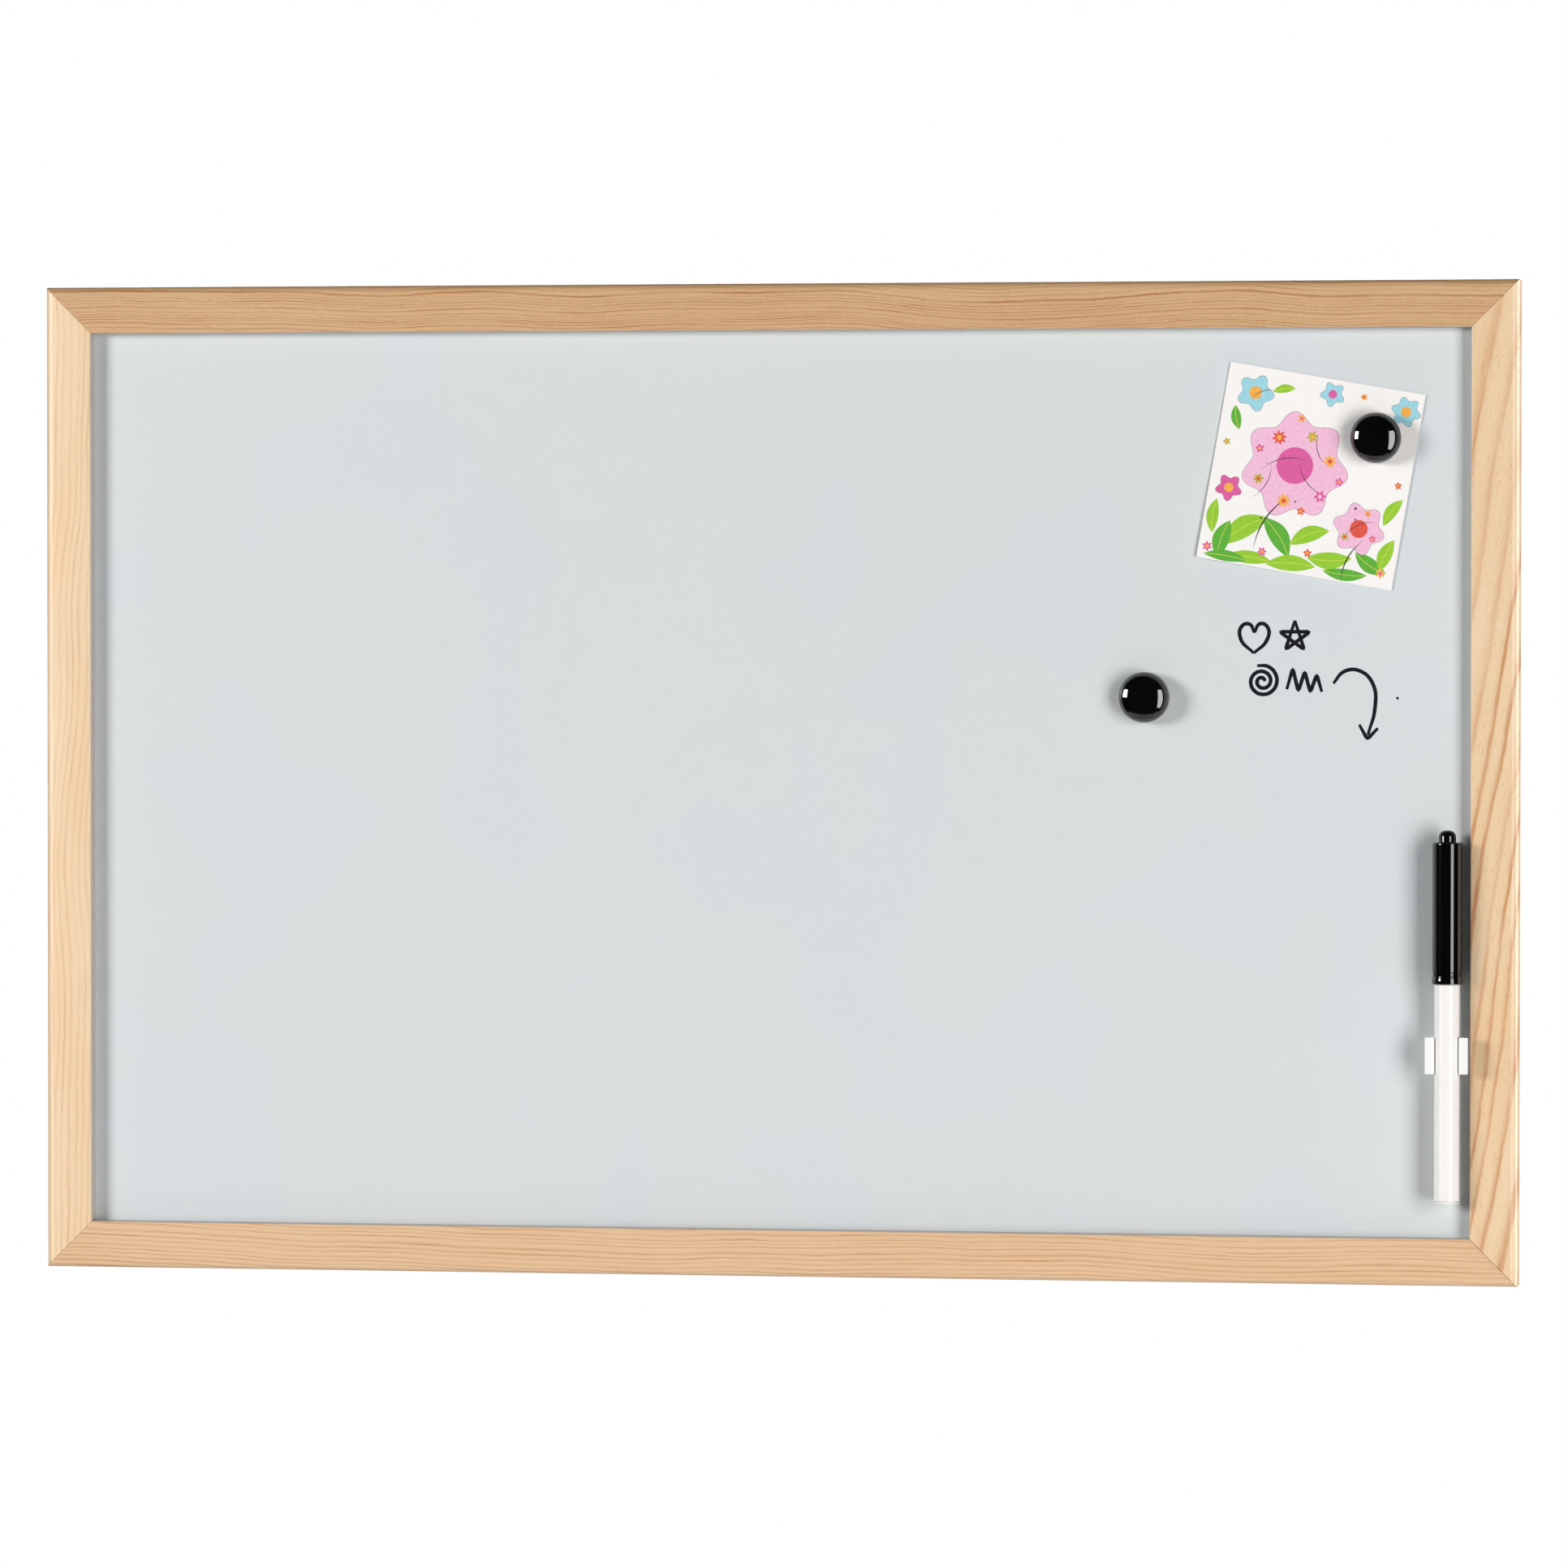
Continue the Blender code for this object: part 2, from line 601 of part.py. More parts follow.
def holder_profile():
    """Nib holder: a spigot in the neck, a flange on it and a cone round the nib; z = 0 at the neck's end."""
    hole = NIB_RADIUS + GAP
    spigot = NECK_BORE - GAP
    flange_top = GAP + HOLDER_FLANGE
    tip = GAP + HOLDER_LENGTH
    return [
        (hole, tip),
        (hole + HOLDER_TIP_WALL, tip),
        (hole + HOLDER_TIP_WALL + HOLDER_TIP_EDGE, tip - HOLDER_TIP_EDGE),
        (NECK_RADIUS - HOLDER_SHOULDER, flange_top + HOLDER_SHOULDER),
        (NECK_RADIUS, flange_top),
        (NECK_RADIUS, GAP),
        (spigot, GAP),
        (spigot, -HOLDER_SPIGOT),
        (hole, -HOLDER_SPIGOT),
    ]


def nib_profile():
    """Felt rod with a bullet end, from the reservoir up through the holder."""
    low = BARREL_LENGTH + GAP - NECK_TOP_Z + FOOT_Z
    high = GAP + HOLDER_LENGTH + NIB_SHOWING
    bullet = arc_points((0, high - NIB_RADIUS), NIB_RADIUS, math.pi / 2, 0, ROUND_STEPS)[1:]
    return [(0, high), *bullet, (NIB_RADIUS, low), (0, low)]


def reservoir_profile():
    """Ink-soaked fibre rod between the end plug and the foot of the nib."""
    radius = BORE_RADIUS - GAP
    low = PLUG_FLANGE + PLUG_SPIGOT + GAP
    high = BARREL_LENGTH - BARREL_WALL - GAP
    return [(0, high), (radius, high), (radius, low), (0, low)]


def cap_profile():
    """Cap with a rounded knob, two fine grooves over its collar and an open bore; z = 0 at its mouth."""
    top = CAP_LENGTH
    knob_top = top + KNOB_HEIGHT
    quarter = math.pi / 2
    knob_centre = (KNOB_RADIUS - KNOB_ROUND, knob_top - KNOB_ROUND)
    shoulder_centre = (CAP_RADIUS - CAP_SHOULDER, top - CAP_SHOULDER)
    knob = arc_points(knob_centre, KNOB_ROUND, quarter, 0, ROUND_STEPS)
    shoulder = arc_points(shoulder_centre, CAP_SHOULDER, quarter, 0, EDGE_STEPS)
    points = [(0, knob_top), *knob, (KNOB_RADIUS, top), *shoulder]
    groove_floor = CAP_RADIUS - GROOVE_DEPTH
    for step in (3, 1):
        upper = COLLAR_HEIGHT + (step + 1) * GROOVE_WIDTH
        lower = upper - GROOVE_WIDTH
        points += [(CAP_RADIUS, upper), (groove_floor, upper - GROOVE_WIDTH / 3)]
        points += [(groove_floor, lower + GROOVE_WIDTH / 3), (CAP_RADIUS, lower)]
    collar = CAP_RADIUS + COLLAR_SWELL
    points += [(CAP_RADIUS, COLLAR_HEIGHT + GROOVE_WIDTH / 2), (collar, COLLAR_HEIGHT)]
    points += [(collar, COLLAR_SWELL), (CAP_RADIUS, 0), (CAP_BORE, 0), (CAP_BORE, top - CAP_CROWN)]
    points.append((0, top - CAP_CROWN))
    return points


turn_profile("marker_barrel", barrel_profile(), FINE_TURN, upright(FOOT_Z), BARREL_WHITE)
turn_profile("marker_end_plug", plug_profile(), FINE_TURN, upright(FOOT_Z), BARREL_WHITE)
turn_profile("marker_reservoir", reservoir_profile(), FINE_TURN, upright(FOOT_Z), FELT)
turn_profile("marker_nib_holder", holder_profile(), FINE_TURN, upright(NECK_TOP_Z), CAP_BLACK)
turn_profile("marker_nib", nib_profile(), FINE_TURN, upright(NECK_TOP_Z), FELT)
turn_profile("marker_cap", cap_profile(), FINE_TURN, upright(CAP_MOUTH_Z), CAP_BLACK)


def housing_profile():
    """Magnet housing: a shallow dome, a flank curving down from it and a core pocket; z = 0 at its foot."""
    quarter = math.pi / 2
    dome_edge = MAGNET_RADIUS - MAGNET_FLANK
    dome_end = math.acos(dome_edge / MAGNET_DOME_RADIUS)
    dome_centre = (0, MAGNET_HEIGHT - MAGNET_DOME_RADIUS)
    dome = arc_points(dome_centre, MAGNET_DOME_RADIUS, quarter, dome_end, RING_STEPS)
    sine_span = math.sin(MAGNET_FLANK_FOOT_TILT) - math.sin(MAGNET_FLANK_TOP_TILT)
    flank_radius = MAGNET_FLANK / sine_span
    flank_x = dome_edge - flank_radius * math.sin(MAGNET_FLANK_TOP_TILT)
    flank_z = dome[-1][1] - flank_radius * math.cos(MAGNET_FLANK_TOP_TILT)
    flank_start = quarter - MAGNET_FLANK_TOP_TILT
    flank_end = quarter - MAGNET_FLANK_FOOT_TILT
    flank = arc_points((flank_x, flank_z), flank_radius, flank_start, flank_end, ROUND_STEPS)
    pocket = MAGNET_RADIUS - MAGNET_WALL
    ceiling = CORE_THICKNESS + 2 * GAP
    foot = [(MAGNET_RADIUS, MAGNET_EDGE), (MAGNET_RADIUS - MAGNET_EDGE, 0), (pocket, 0)]
    return [(0, MAGNET_HEIGHT), *dome[1:-1], *flank, *foot, (pocket, ceiling), (0, ceiling)]


def core_profile():
    """Ferrite disc in the housing's pocket, flush with its foot but for the clearance."""
    radius = MAGNET_RADIUS - MAGNET_WALL - GAP
    low = GAP
    high = GAP + CORE_THICKNESS
    return [(0, high), (radius, high), (radius, low), (0, low)]


def add_magnet(name, x, z, seat_y):
    """Magnet whose foot stands off its seat by the clearance, its dome towards the viewer."""
    place = frame_matrix((x, seat_y - GAP, z), (1, 0, 0), (0, 0, 1))
    turn_profile(name + "_housing", housing_profile(), FINE_TURN, place, MAGNET_BLACK)
    turn_profile(name + "_core", core_profile(), FINE_TURN, place, FERRITE)


card_middle = (CARD_X, (CARD_BACK_Y + CARD_FRONT_Y) / 2, CARD_Z)
add_block("card", (CARD_SIZE, CARD_THICKNESS, CARD_SIZE), card_middle, CARD_STOCK, turn=CARD_TURN)
add_magnet("magnet_free", RIGHT_X - FREE_MAGNET_FROM_RIGHT, TOP_Z - FREE_MAGNET_FROM_TOP, SHEET_FRONT_Y)
add_magnet("magnet_card", CARD_X + CARD_MAGNET_ACROSS, CARD_Z + CARD_MAGNET_UP, CARD_FRONT_Y)
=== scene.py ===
import math

import bmesh
import bpy
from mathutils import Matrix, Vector


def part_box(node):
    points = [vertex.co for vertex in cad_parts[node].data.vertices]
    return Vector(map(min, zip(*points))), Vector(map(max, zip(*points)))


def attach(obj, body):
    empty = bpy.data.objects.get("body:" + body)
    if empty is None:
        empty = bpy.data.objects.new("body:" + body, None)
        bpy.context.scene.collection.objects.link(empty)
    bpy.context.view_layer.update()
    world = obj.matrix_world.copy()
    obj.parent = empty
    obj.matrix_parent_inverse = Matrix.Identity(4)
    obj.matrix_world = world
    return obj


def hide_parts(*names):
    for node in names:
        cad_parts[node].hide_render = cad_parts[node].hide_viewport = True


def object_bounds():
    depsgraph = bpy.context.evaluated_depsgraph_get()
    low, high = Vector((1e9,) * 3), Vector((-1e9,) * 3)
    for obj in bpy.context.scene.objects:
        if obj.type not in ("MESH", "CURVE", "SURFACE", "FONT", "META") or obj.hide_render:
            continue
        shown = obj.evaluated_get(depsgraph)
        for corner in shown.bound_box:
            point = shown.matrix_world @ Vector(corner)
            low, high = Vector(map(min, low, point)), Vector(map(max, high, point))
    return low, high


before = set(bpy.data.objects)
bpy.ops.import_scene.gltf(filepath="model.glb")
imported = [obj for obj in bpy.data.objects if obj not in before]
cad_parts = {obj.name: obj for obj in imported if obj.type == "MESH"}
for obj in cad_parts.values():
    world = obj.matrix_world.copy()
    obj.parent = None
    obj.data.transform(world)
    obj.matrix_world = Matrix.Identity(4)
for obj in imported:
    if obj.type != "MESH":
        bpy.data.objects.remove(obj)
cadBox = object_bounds()
print("whiteboard: frame loaded")

mm = 0.001
scene = bpy.context.scene
boardMiddle = (cadBox[0] + cadBox[1]) / 2
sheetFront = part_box("writing_sheet")[0].y


# Hands: the few moves that every piece is shaped with
def deselectAll():
    for thing in bpy.context.selected_objects:
        thing.select_set(False)


def takeUp(piece):  # make it the one thing in hand
    deselectAll()
    piece.select_set(True)
    bpy.context.view_layer.objects.active = piece


def freshPiece(name):  # the primitive just added, its place put into its mesh
    piece = bpy.context.object
    piece.name = name
    piece.data.name = name
    bpy.ops.object.transform_apply(location=True, rotation=True, scale=True)
    return piece


def settle(piece, location=(0, 0, 0), rotation=(0, 0, 0)):
    takeUp(piece)
    piece.rotation_euler = rotation
    piece.location = location
    bpy.ops.object.transform_apply(location=True, rotation=True, scale=True)


def editMode(piece):
    takeUp(piece)
    bpy.ops.object.mode_set(mode="EDIT")
    bpy.ops.mesh.select_mode(type="VERT")
    pickAll()


def objectMode():
    bpy.ops.object.mode_set(mode="OBJECT")


def pick(piece, kind, test):  # kind is VERT, EDGE or FACE
    bpy.ops.mesh.select_mode(type=kind)
    bpy.ops.mesh.select_all(action="DESELECT")
    mesh = bmesh.from_edit_mesh(piece.data)
    for part in {"VERT": mesh.verts, "EDGE": mesh.edges, "FACE": mesh.faces}[kind]:
        if test(part):
            part.select = True
    bmesh.update_edit_mesh(piece.data)


def pickAll():
    bpy.ops.mesh.select_all(action="SELECT")


def faceOutward():  # normals out, then back to object mode
    pickAll()
    bpy.ops.mesh.normals_make_consistent(inside=False)
    objectMode()


def close(a, b, slack=1e-5):
    return abs(a - b) < slack


def smooth(piece, degrees=35):
    takeUp(piece)
    bpy.ops.object.shade_smooth_by_angle(angle=math.radians(degrees))


def applyModifier(piece, kind, **settings):
    takeUp(piece)
    modifier = piece.modifiers.new(kind.title(), kind)
    for key, value in settings.items():
        setattr(modifier, key, value)
    bpy.ops.object.modifier_apply(modifier=modifier.name)


def arc(centre, radius, start, end, steps):  # points of a round stretch, angles in degrees
    points = []
    for step in range(steps + 1):
        angle = math.radians(start + (end - start) * step / steps)
        points.append((centre[0] + radius * math.cos(angle), centre[1] + radius * math.sin(angle)))
    return points


def roundEdges(width, steps):  # of the picked edges
    bpy.ops.mesh.bevel(offset=width, offset_type="OFFSET", segments=steps, profile=0.5, affect="EDGES")


def lathe(name, profile, sides=96, closed=True):  # (radius, height) points spun about Z
    bpy.ops.mesh.primitive_plane_add(size=mm, location=(0, 0, 0))
    piece = freshPiece(name)
    editMode(piece)
    bpy.ops.mesh.merge(type="CENTER")
    bpy.ops.transform.translate(value=(profile[0][0], 0, profile[0][1]))
    for before, after in zip(profile, profile[1:]):
        move = (after[0] - before[0], 0, after[1] - before[1])
        bpy.ops.mesh.extrude_vertices_move(TRANSFORM_OT_translate={"value": move})
    if closed:
        ends = (profile[0], profile[-1])
        pick(piece, "VERT", lambda vert: any(close(vert.co.x, r) and close(vert.co.z, h) for r, h in ends))
        bpy.ops.mesh.edge_face_add()
    pickAll()
    bpy.ops.mesh.spin(steps=sides, angle=2 * math.pi, center=(0, 0, 0), axis=(0, 0, 1))
    pickAll()
    bpy.ops.mesh.remove_doubles(threshold=0.005 * mm)
    faceOutward()
    smooth(piece)
    return piece


def dress(piece, material):
    piece.data.materials.clear()
    piece.data.materials.append(material)


def seat(piece, material, body, slot, *nodes):
    dress(piece, material)
    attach(piece, body)
    if nodes:
        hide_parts(*nodes)
    print("whiteboard: made", piece.name)


# Shader groups, each built once and placed with its own values
def newGroup(name, vectors, numbers, masks):  # numbers gives each label its usual value
    group = bpy.data.node_groups.new(name, "ShaderNodeTree")
    for label in vectors:
        group.interface.new_socket(name=label, in_out="INPUT", socket_type="NodeSocketVector")
    for label, value in numbers.items():
        socket = group.interface.new_socket(name=label, in_out="INPUT", socket_type="NodeSocketFloat")
        socket.default_value = value
    for label in masks:
        group.interface.new_socket(name=label, in_out="OUTPUT", socket_type="NodeSocketFloat")
    start = group.nodes.new("NodeGroupInput")
    end = group.nodes.new("NodeGroupOutput")
    return group, start.outputs, end.inputs


class Bench:  # wires nodes in one tree
    def __init__(self, tree):
        self.tree = tree

    def add(self, kind, **settings):
        node = self.tree.nodes.new(kind)
        for key, value in settings.items():
            setattr(node, key, value)
        return node

    def link(self, source, target):
        self.tree.links.new(source, target)

    def feed(self, socket, value):
        if isinstance(value, bpy.types.NodeSocket):
            self.link(value, socket)
        else:
            socket.default_value = value

    def math(self, operation, first, second=0, third=0, clamp=False):
        node = self.add("ShaderNodeMath", operation=operation, use_clamp=clamp)
        for socket, value in zip(node.inputs, (first, second, third)):
            self.feed(socket, value)
        return node.outputs[0]

    def times(self, first, second, clamp=False):
        return self.math("MULTIPLY", first, second, clamp=clamp)

    def plus(self, first, second):
        return self.math("ADD", first, second)

    def minus(self, first, second):
        return self.math("SUBTRACT", first, second)

    def vector(self, operation, first, second=(0, 0, 0)):
        node = self.add("ShaderNodeVectorMath", operation=operation)
        self.feed(node.inputs[0], first)
        self.feed(node.inputs[1], second)
        return node.outputs["Value" if operation == "LENGTH" else "Vector"]

    def scaled(self, vector, amount):
        node = self.add("ShaderNodeVectorMath", operation="SCALE")
        self.link(vector, node.inputs[0])
        self.feed(node.inputs["Scale"], amount)
        return node.outputs[0]

    def split(self, vector):
        node = self.add("ShaderNodeSeparateXYZ")
        self.link(vector, node.inputs[0])
        return node.outputs

    def join(self, x=0, y=0, z=0):
        node = self.add("ShaderNodeCombineXYZ")
        for socket, value in zip(node.inputs, (x, y, z)):
            self.feed(socket, value)
        return node.outputs[0]

    def noise(self, vector, detail=2, roughness=0.5):
        node = self.add("ShaderNodeTexNoise", noise_dimensions="3D")
        self.link(vector, node.inputs["Vector"])
        node.inputs["Scale"].default_value = 1
        node.inputs["Detail"].default_value = detail
        node.inputs["Roughness"].default_value = roughness
        return node.outputs["Fac"]

    def remap(self, value, low, high, toLow=0, toHigh=1, smoothly=False):
        node = self.add("ShaderNodeMapRange", interpolation_type="SMOOTHSTEP" if smoothly else "LINEAR")
        for socket, number in zip(node.inputs, (value, low, high, toLow, toHigh)):
            self.feed(socket, number)
        return node.outputs[0]

    def ramp(self, value, stops):
        node = self.add("ShaderNodeValToRGB")
        self.link(value, node.inputs[0])
        band = node.color_ramp
        band.elements[0].position, band.elements[1].position = stops[0][0], stops[-1][0]
        for place, _ in stops[1:-1]:
            band.elements.new(place)
        for element, (_, level) in zip(band.elements, stops):
            element.color = (level, level, level, 1)
        return node.outputs["Color"]

    def mix(self, amount, first, second, blend="MIX"):
        node = self.add("ShaderNodeMix", data_type="RGBA", blend_type=blend)
        self.feed(node.inputs["Factor"], amount)
        self.feed(node.inputs[6], first)
        self.feed(node.inputs[7], second)
        return node.outputs[2]

    def toned(self, colour, value, dark, light, low=0.3, high=0.7):  # lighter and darker by a noise value
        tone = self.remap(value, low, high, dark, light)
        return self.mix(1, colour, self.join(tone, tone, tone), "MULTIPLY")

    def group(self, tree, **values):
        node = self.add("ShaderNodeGroup")
        node.node_tree = tree
        for key, value in values.items():
            self.feed(node.inputs[key], value)
        return node.outputs


def rgb(red, green, blue):  # a screen colour, 0 to 255, as the shader wants it
    shares = (red / 255, green / 255, blue / 255)
    return tuple(c / 12.92 if c <= 0.04045 else ((c + 0.055) / 1.055) ** 2.4 for c in shares) + (1,)


class Finish(Bench):  # one material's nodes; its place is in millimetres
    def __init__(self, name, roughness=0.5, metallic=0, ior=1.5, coat=0, coatRoughness=0.1):
        self.material = bpy.data.materials.new(name)
        self.material.use_nodes = True
        super().__init__(self.material.node_tree)
        self.sockets = self.tree.nodes["Principled BSDF"].inputs
        values = {"Roughness": roughness, "Metallic": metallic, "IOR": ior}
        values.update({"Coat Weight": coat, "Coat Roughness": coatRoughness})
        for label, value in values.items():
            self.sockets[label].default_value = value
        self.place = self.scaled(self.add("ShaderNodeTexCoord").outputs["Object"], 1 / mm)

    def paint(self, colour):
        self.link(colour, self.sockets["Base Color"])

    def roughen(self, roughness):
        self.link(roughness, self.sockets["Roughness"])

    def emboss(self, height, distance, strength):
        bump = self.add("ShaderNodeBump")
        bump.inputs["Distance"].default_value = distance
        bump.inputs["Strength"].default_value = strength
        self.link(height, bump.inputs["Height"])
        self.link(bump.outputs[0], self.sockets["Normal"])


grainInputs = {  # millimetres, or plain shares
    "Ring Width": 2, "Pith Across": 40, "Pith Depth": 20, "Slope": 0,
    "Bow": 3, "Bow Length": 160, "Waver": 0.6, "Seed": 0,
}
seedStep = 17.3
yearSwing = 3.2  # how much the years differ in width
lateWood = [  # share of the year, darkness
    (0, 0.30), (0.08, 0.06), (0.40, 0.04), (0.64, 0.22), (0.82, 0.88), (0.92, 1), (1, 0.30),
]


def makeGrainGroup():  # growth rings about a pith line, seen along the fibres; Place is along, across, depth
    masks = ("Ring", "Amber", "Fibre", "Fleck", "Dash", "Blotch")
    group, given, out = newGroup("pineGrain", ("Place",), grainInputs, masks)
    bench = Bench(group)
    along, across, depth = bench.split(given["Place"])
    seedShift = bench.times(given["Seed"], seedStep)
    sloped = bench.math("MULTIPLY_ADD", along, given["Slope"], across)

    def stretched(alongScale, acrossScale):  # a noise place that runs long along the fibres
        return bench.join(
            bench.times(along, alongScale),
            bench.times(sloped, acrossScale),
            bench.math("MULTIPLY_ADD", depth, acrossScale, seedShift),
        )

    def sway(place, detail, amount):
        return bench.times(bench.minus(bench.noise(place, detail), 0.5), amount)

    longAlong = bench.math("DIVIDE", along, given["Bow Length"])
    bow = sway(bench.join(longAlong, bench.times(across, 0.006), seedShift), 1, given["Bow"])
    waver = sway(stretched(0.045, 0.12), 3, given["Waver"])
    tremble = sway(stretched(0.22, 0.5), 2, bench.times(given["Waver"], 0.3))
    bent = bench.plus(bench.plus(bow, waver), tremble)
    side = bench.plus(bench.plus(sloped, given["Pith Across"]), bent)
    deep = bench.plus(depth, given["Pith Depth"])
    radius = bench.vector("LENGTH", bench.join(side, deep, 0))
    turns = bench.math("DIVIDE", radius, given["Ring Width"])
    unevenYears = bench.noise(bench.join(bench.times(turns, 0.21), seedShift, 0), 1)
    phase = bench.math("MULTIPLY_ADD", unevenYears, yearSwing, turns)
    late = bench.ramp(bench.math("FRACT", phase), lateWood)
    chance = bench.add("ShaderNodeTexWhiteNoise", noise_dimensions="1D")
    bench.link(bench.plus(bench.math("FLOOR", phase), seedShift), chance.inputs["W"])
    strength = bench.remap(chance.outputs["Value"], 0, 1, 0.40, 1)
    fade = bench.remap(bench.noise(stretched(0.022, 0.3), 2), 0.3, 0.7, 0.45, 1.2)
    ring = bench.times(bench.times(late, strength), fade)
    bench.link(ring, out["Ring"])
    rich = bench.remap(bench.noise(stretched(0.03, 0.8), 1), 0.50, 0.64, smoothly=True)
    bench.link(bench.times(rich, bench.remap(ring, 0.30, 0.75)), out["Amber"])
    coarse = bench.noise(stretched(0.06, 2.2), 3, 0.6)
    thin = bench.noise(stretched(0.18, 6), 3, 0.6)
    bench.link(bench.math("MULTIPLY_ADD", coarse, 0.6, bench.times(thin, 0.4)), out["Fibre"])
    bench.link(bench.noise(stretched(1.7, 0.9), 2, 0.6), out["Fleck"])
    bench.link(bench.remap(bench.noise(stretched(0.30, 3.2), 0), 0.72, 0.80), out["Dash"])
    bench.link(bench.noise(stretched(0.012, 0.07), 2), out["Blotch"])
    return group


def makeSpeckGroup():  # scattered specks: 1 on a speck, 0 off it; only a share of the cells hold one
    numbers = {"Spacing": 20, "Size": 0.4, "Share": 0.3}
    group, given, out = newGroup("specks", ("Place",), numbers, ("Mask",))
    bench = Bench(group)
    cells = bench.add("ShaderNodeTexVoronoi", voronoi_dimensions="3D", feature="F1")
    shrunk = bench.scaled(given["Place"], bench.math("DIVIDE", 1, given["Spacing"]))
    bench.link(shrunk, cells.inputs["Vector"])
    cells.inputs["Scale"].default_value = 1
    distance = bench.times(cells.outputs["Distance"], given["Spacing"])
    lot = bench.split(cells.outputs["Color"])
    reach = bench.times(given["Size"], bench.remap(lot[1], 0, 1, 0.5, 1.3))
    spot = bench.remap(distance, reach, bench.times(reach, 0.4))
    chosen = bench.math("LESS_THAN", lot[0], given["Share"])
    bench.link(bench.times(spot, chosen), out["Mask"])
    return group


def makeGrainySurfaceGroup():  # fine even grain for moulded plastic, felt, foam and raw steel
    numbers = {"Fineness": 4, "Cloud": 0.05}
    group, given, out = newGroup("fineGrain", ("Place",), numbers, ("Fine", "Cloud"))
    bench = Bench(group)
    for scale, detail, mask in (("Fineness", 3, "Fine"), ("Cloud", 2, "Cloud")):
        bench.link(bench.noise(bench.scaled(given["Place"], given[scale]), detail), out[mask])
    return group


grainGroup = makeGrainGroup()
speckGroup = makeSpeckGroup()
fineGroup = makeGrainySurfaceGroup()
print("whiteboard: shader groups built")


# Pine
wallShadeLook = {"colour": (172, 167, 164), "strength": 0.85, "reach": (0.1, 0.5)}  # painted shade: the inner wall of the recess made a dim grey, which also dims the light it bounces onto the sheet; reach in millimetres
pitLook = {"Spacing": 46, "Size": 0.45, "Share": 0.5}
pineFinish = {
    "coat": 0.55, "coatRoughness": 0.4, "roughness": (0.40, 0.55), "pitStrength": 0.6,
    "relief": 0.06 * mm, "ringShare": 0.35, "fibreShare": 0.5,
}


def pineMaterial(name, look, upright, innerEdge):
    finish = pineFinish
    bench = Finish(name, coat=finish["coat"], coatRoughness=finish["coatRoughness"])
    x, y, z = bench.split(bench.place)
    local = bench.join(z, x, y) if upright else bench.join(x, z, y)
    values = dict(zip(grainInputs, look["grain"]))
    ring, amber, fibre, fleck, dash, blotch = bench.group(grainGroup, Place=local, **values)
    lateness = bench.times(ring, look["contrast"], clamp=True)
    colour = bench.mix(lateness, rgb(*look["early"]), rgb(*look["late"]))
    colour = bench.mix(bench.times(amber, look["amber"]), colour, rgb(*look["amberColour"]))
    for value, swing in ((fibre, look["streak"]), (fleck, look["fleck"])):
        colour = bench.toned(colour, value, 1 - swing, 1 + swing)
    warmth = bench.remap(blotch, 0.3, 0.7, 0, look["blotch"])
    colour = bench.mix(warmth, colour, rgb(*look["warm"]), "MULTIPLY")
    colour = bench.mix(bench.times(dash, look["dashes"]), colour, rgb(*look["late"]))
    pit = bench.group(speckGroup, Place=bench.place, **pitLook)[0]
    colour = bench.mix(bench.times(pit, finish["pitStrength"]), colour, rgb(*look["pit"]))
    # painted shade on the rail's inner wall, full on its face and gone half a millimetre out
    fromWall = bench.math("ABSOLUTE", bench.minus(x if upright else z, innerEdge / mm))
    wall = bench.remap(fromWall, *wallShadeLook["reach"], wallShadeLook["strength"], 0)
    colour = bench.mix(wall, colour, rgb(*wallShadeLook["colour"]))
    bench.paint(colour)
    bench.roughen(bench.remap(fibre, 0.3, 0.7, *finish["roughness"]))
    relief = bench.math("MULTIPLY_ADD", ring, finish["ringShare"], bench.times(fibre, finish["fibreShare"]))
    bench.emboss(bench.minus(relief, pit), finish["relief"], 0.5)
    return bench.material


pineLooks = {  # grain follows the order of grainInputs
    "top": {
        "early": (216, 176, 131), "late": (178, 126, 82), "contrast": 1.1,
        "amber": 0.75, "amberColour": (180, 112, 64), "streak": 0.09, "fleck": 0.06,
        "blotch": 0.4, "warm": (244, 228, 212), "dashes": 0.45, "pit": (120, 84, 58),
        "grain": (1.45, 95, 30, 0.012, 16, 120, 1.6, 1),
    },
    "bottom": {
        "early": (231, 195, 156), "late": (202, 151, 106), "contrast": 0.95,
        "amber": 0.75, "amberColour": (204, 140, 90), "streak": 0.04, "fleck": 0.02,
        "blotch": 0.3, "warm": (248, 232, 214), "dashes": 0.25, "pit": (150, 104, 74),
        "grain": (1.9, 120, 24, 0.014, 10, 110, 1.4, 2),
    },
    "left": {
        "early": (243, 215, 179), "late": (221, 184, 141), "contrast": 0.85,
        "amber": 0.3, "amberColour": (222, 180, 132), "streak": 0.035, "fleck": 0.02,
        "blotch": 0.4, "warm": (250, 235, 215), "dashes": 0.3, "pit": (168, 122, 84),
        "grain": (2.5, 85, 34, -0.02, 22, 130, 2.4, 3),
    },
    "right": {
        "early": (240, 212, 174), "late": (208, 152, 104), "contrast": 1,
        "amber": 0.6, "amberColour": (204, 140, 90), "streak": 0.04, "fleck": 0.015,
        "blotch": 0.5, "warm": (246, 228, 204), "dashes": 0.75, "pit": (150, 104, 70),
        "grain": (7, 30, 26, -0.17, 12, 150, 2.6, 4),
    },
}

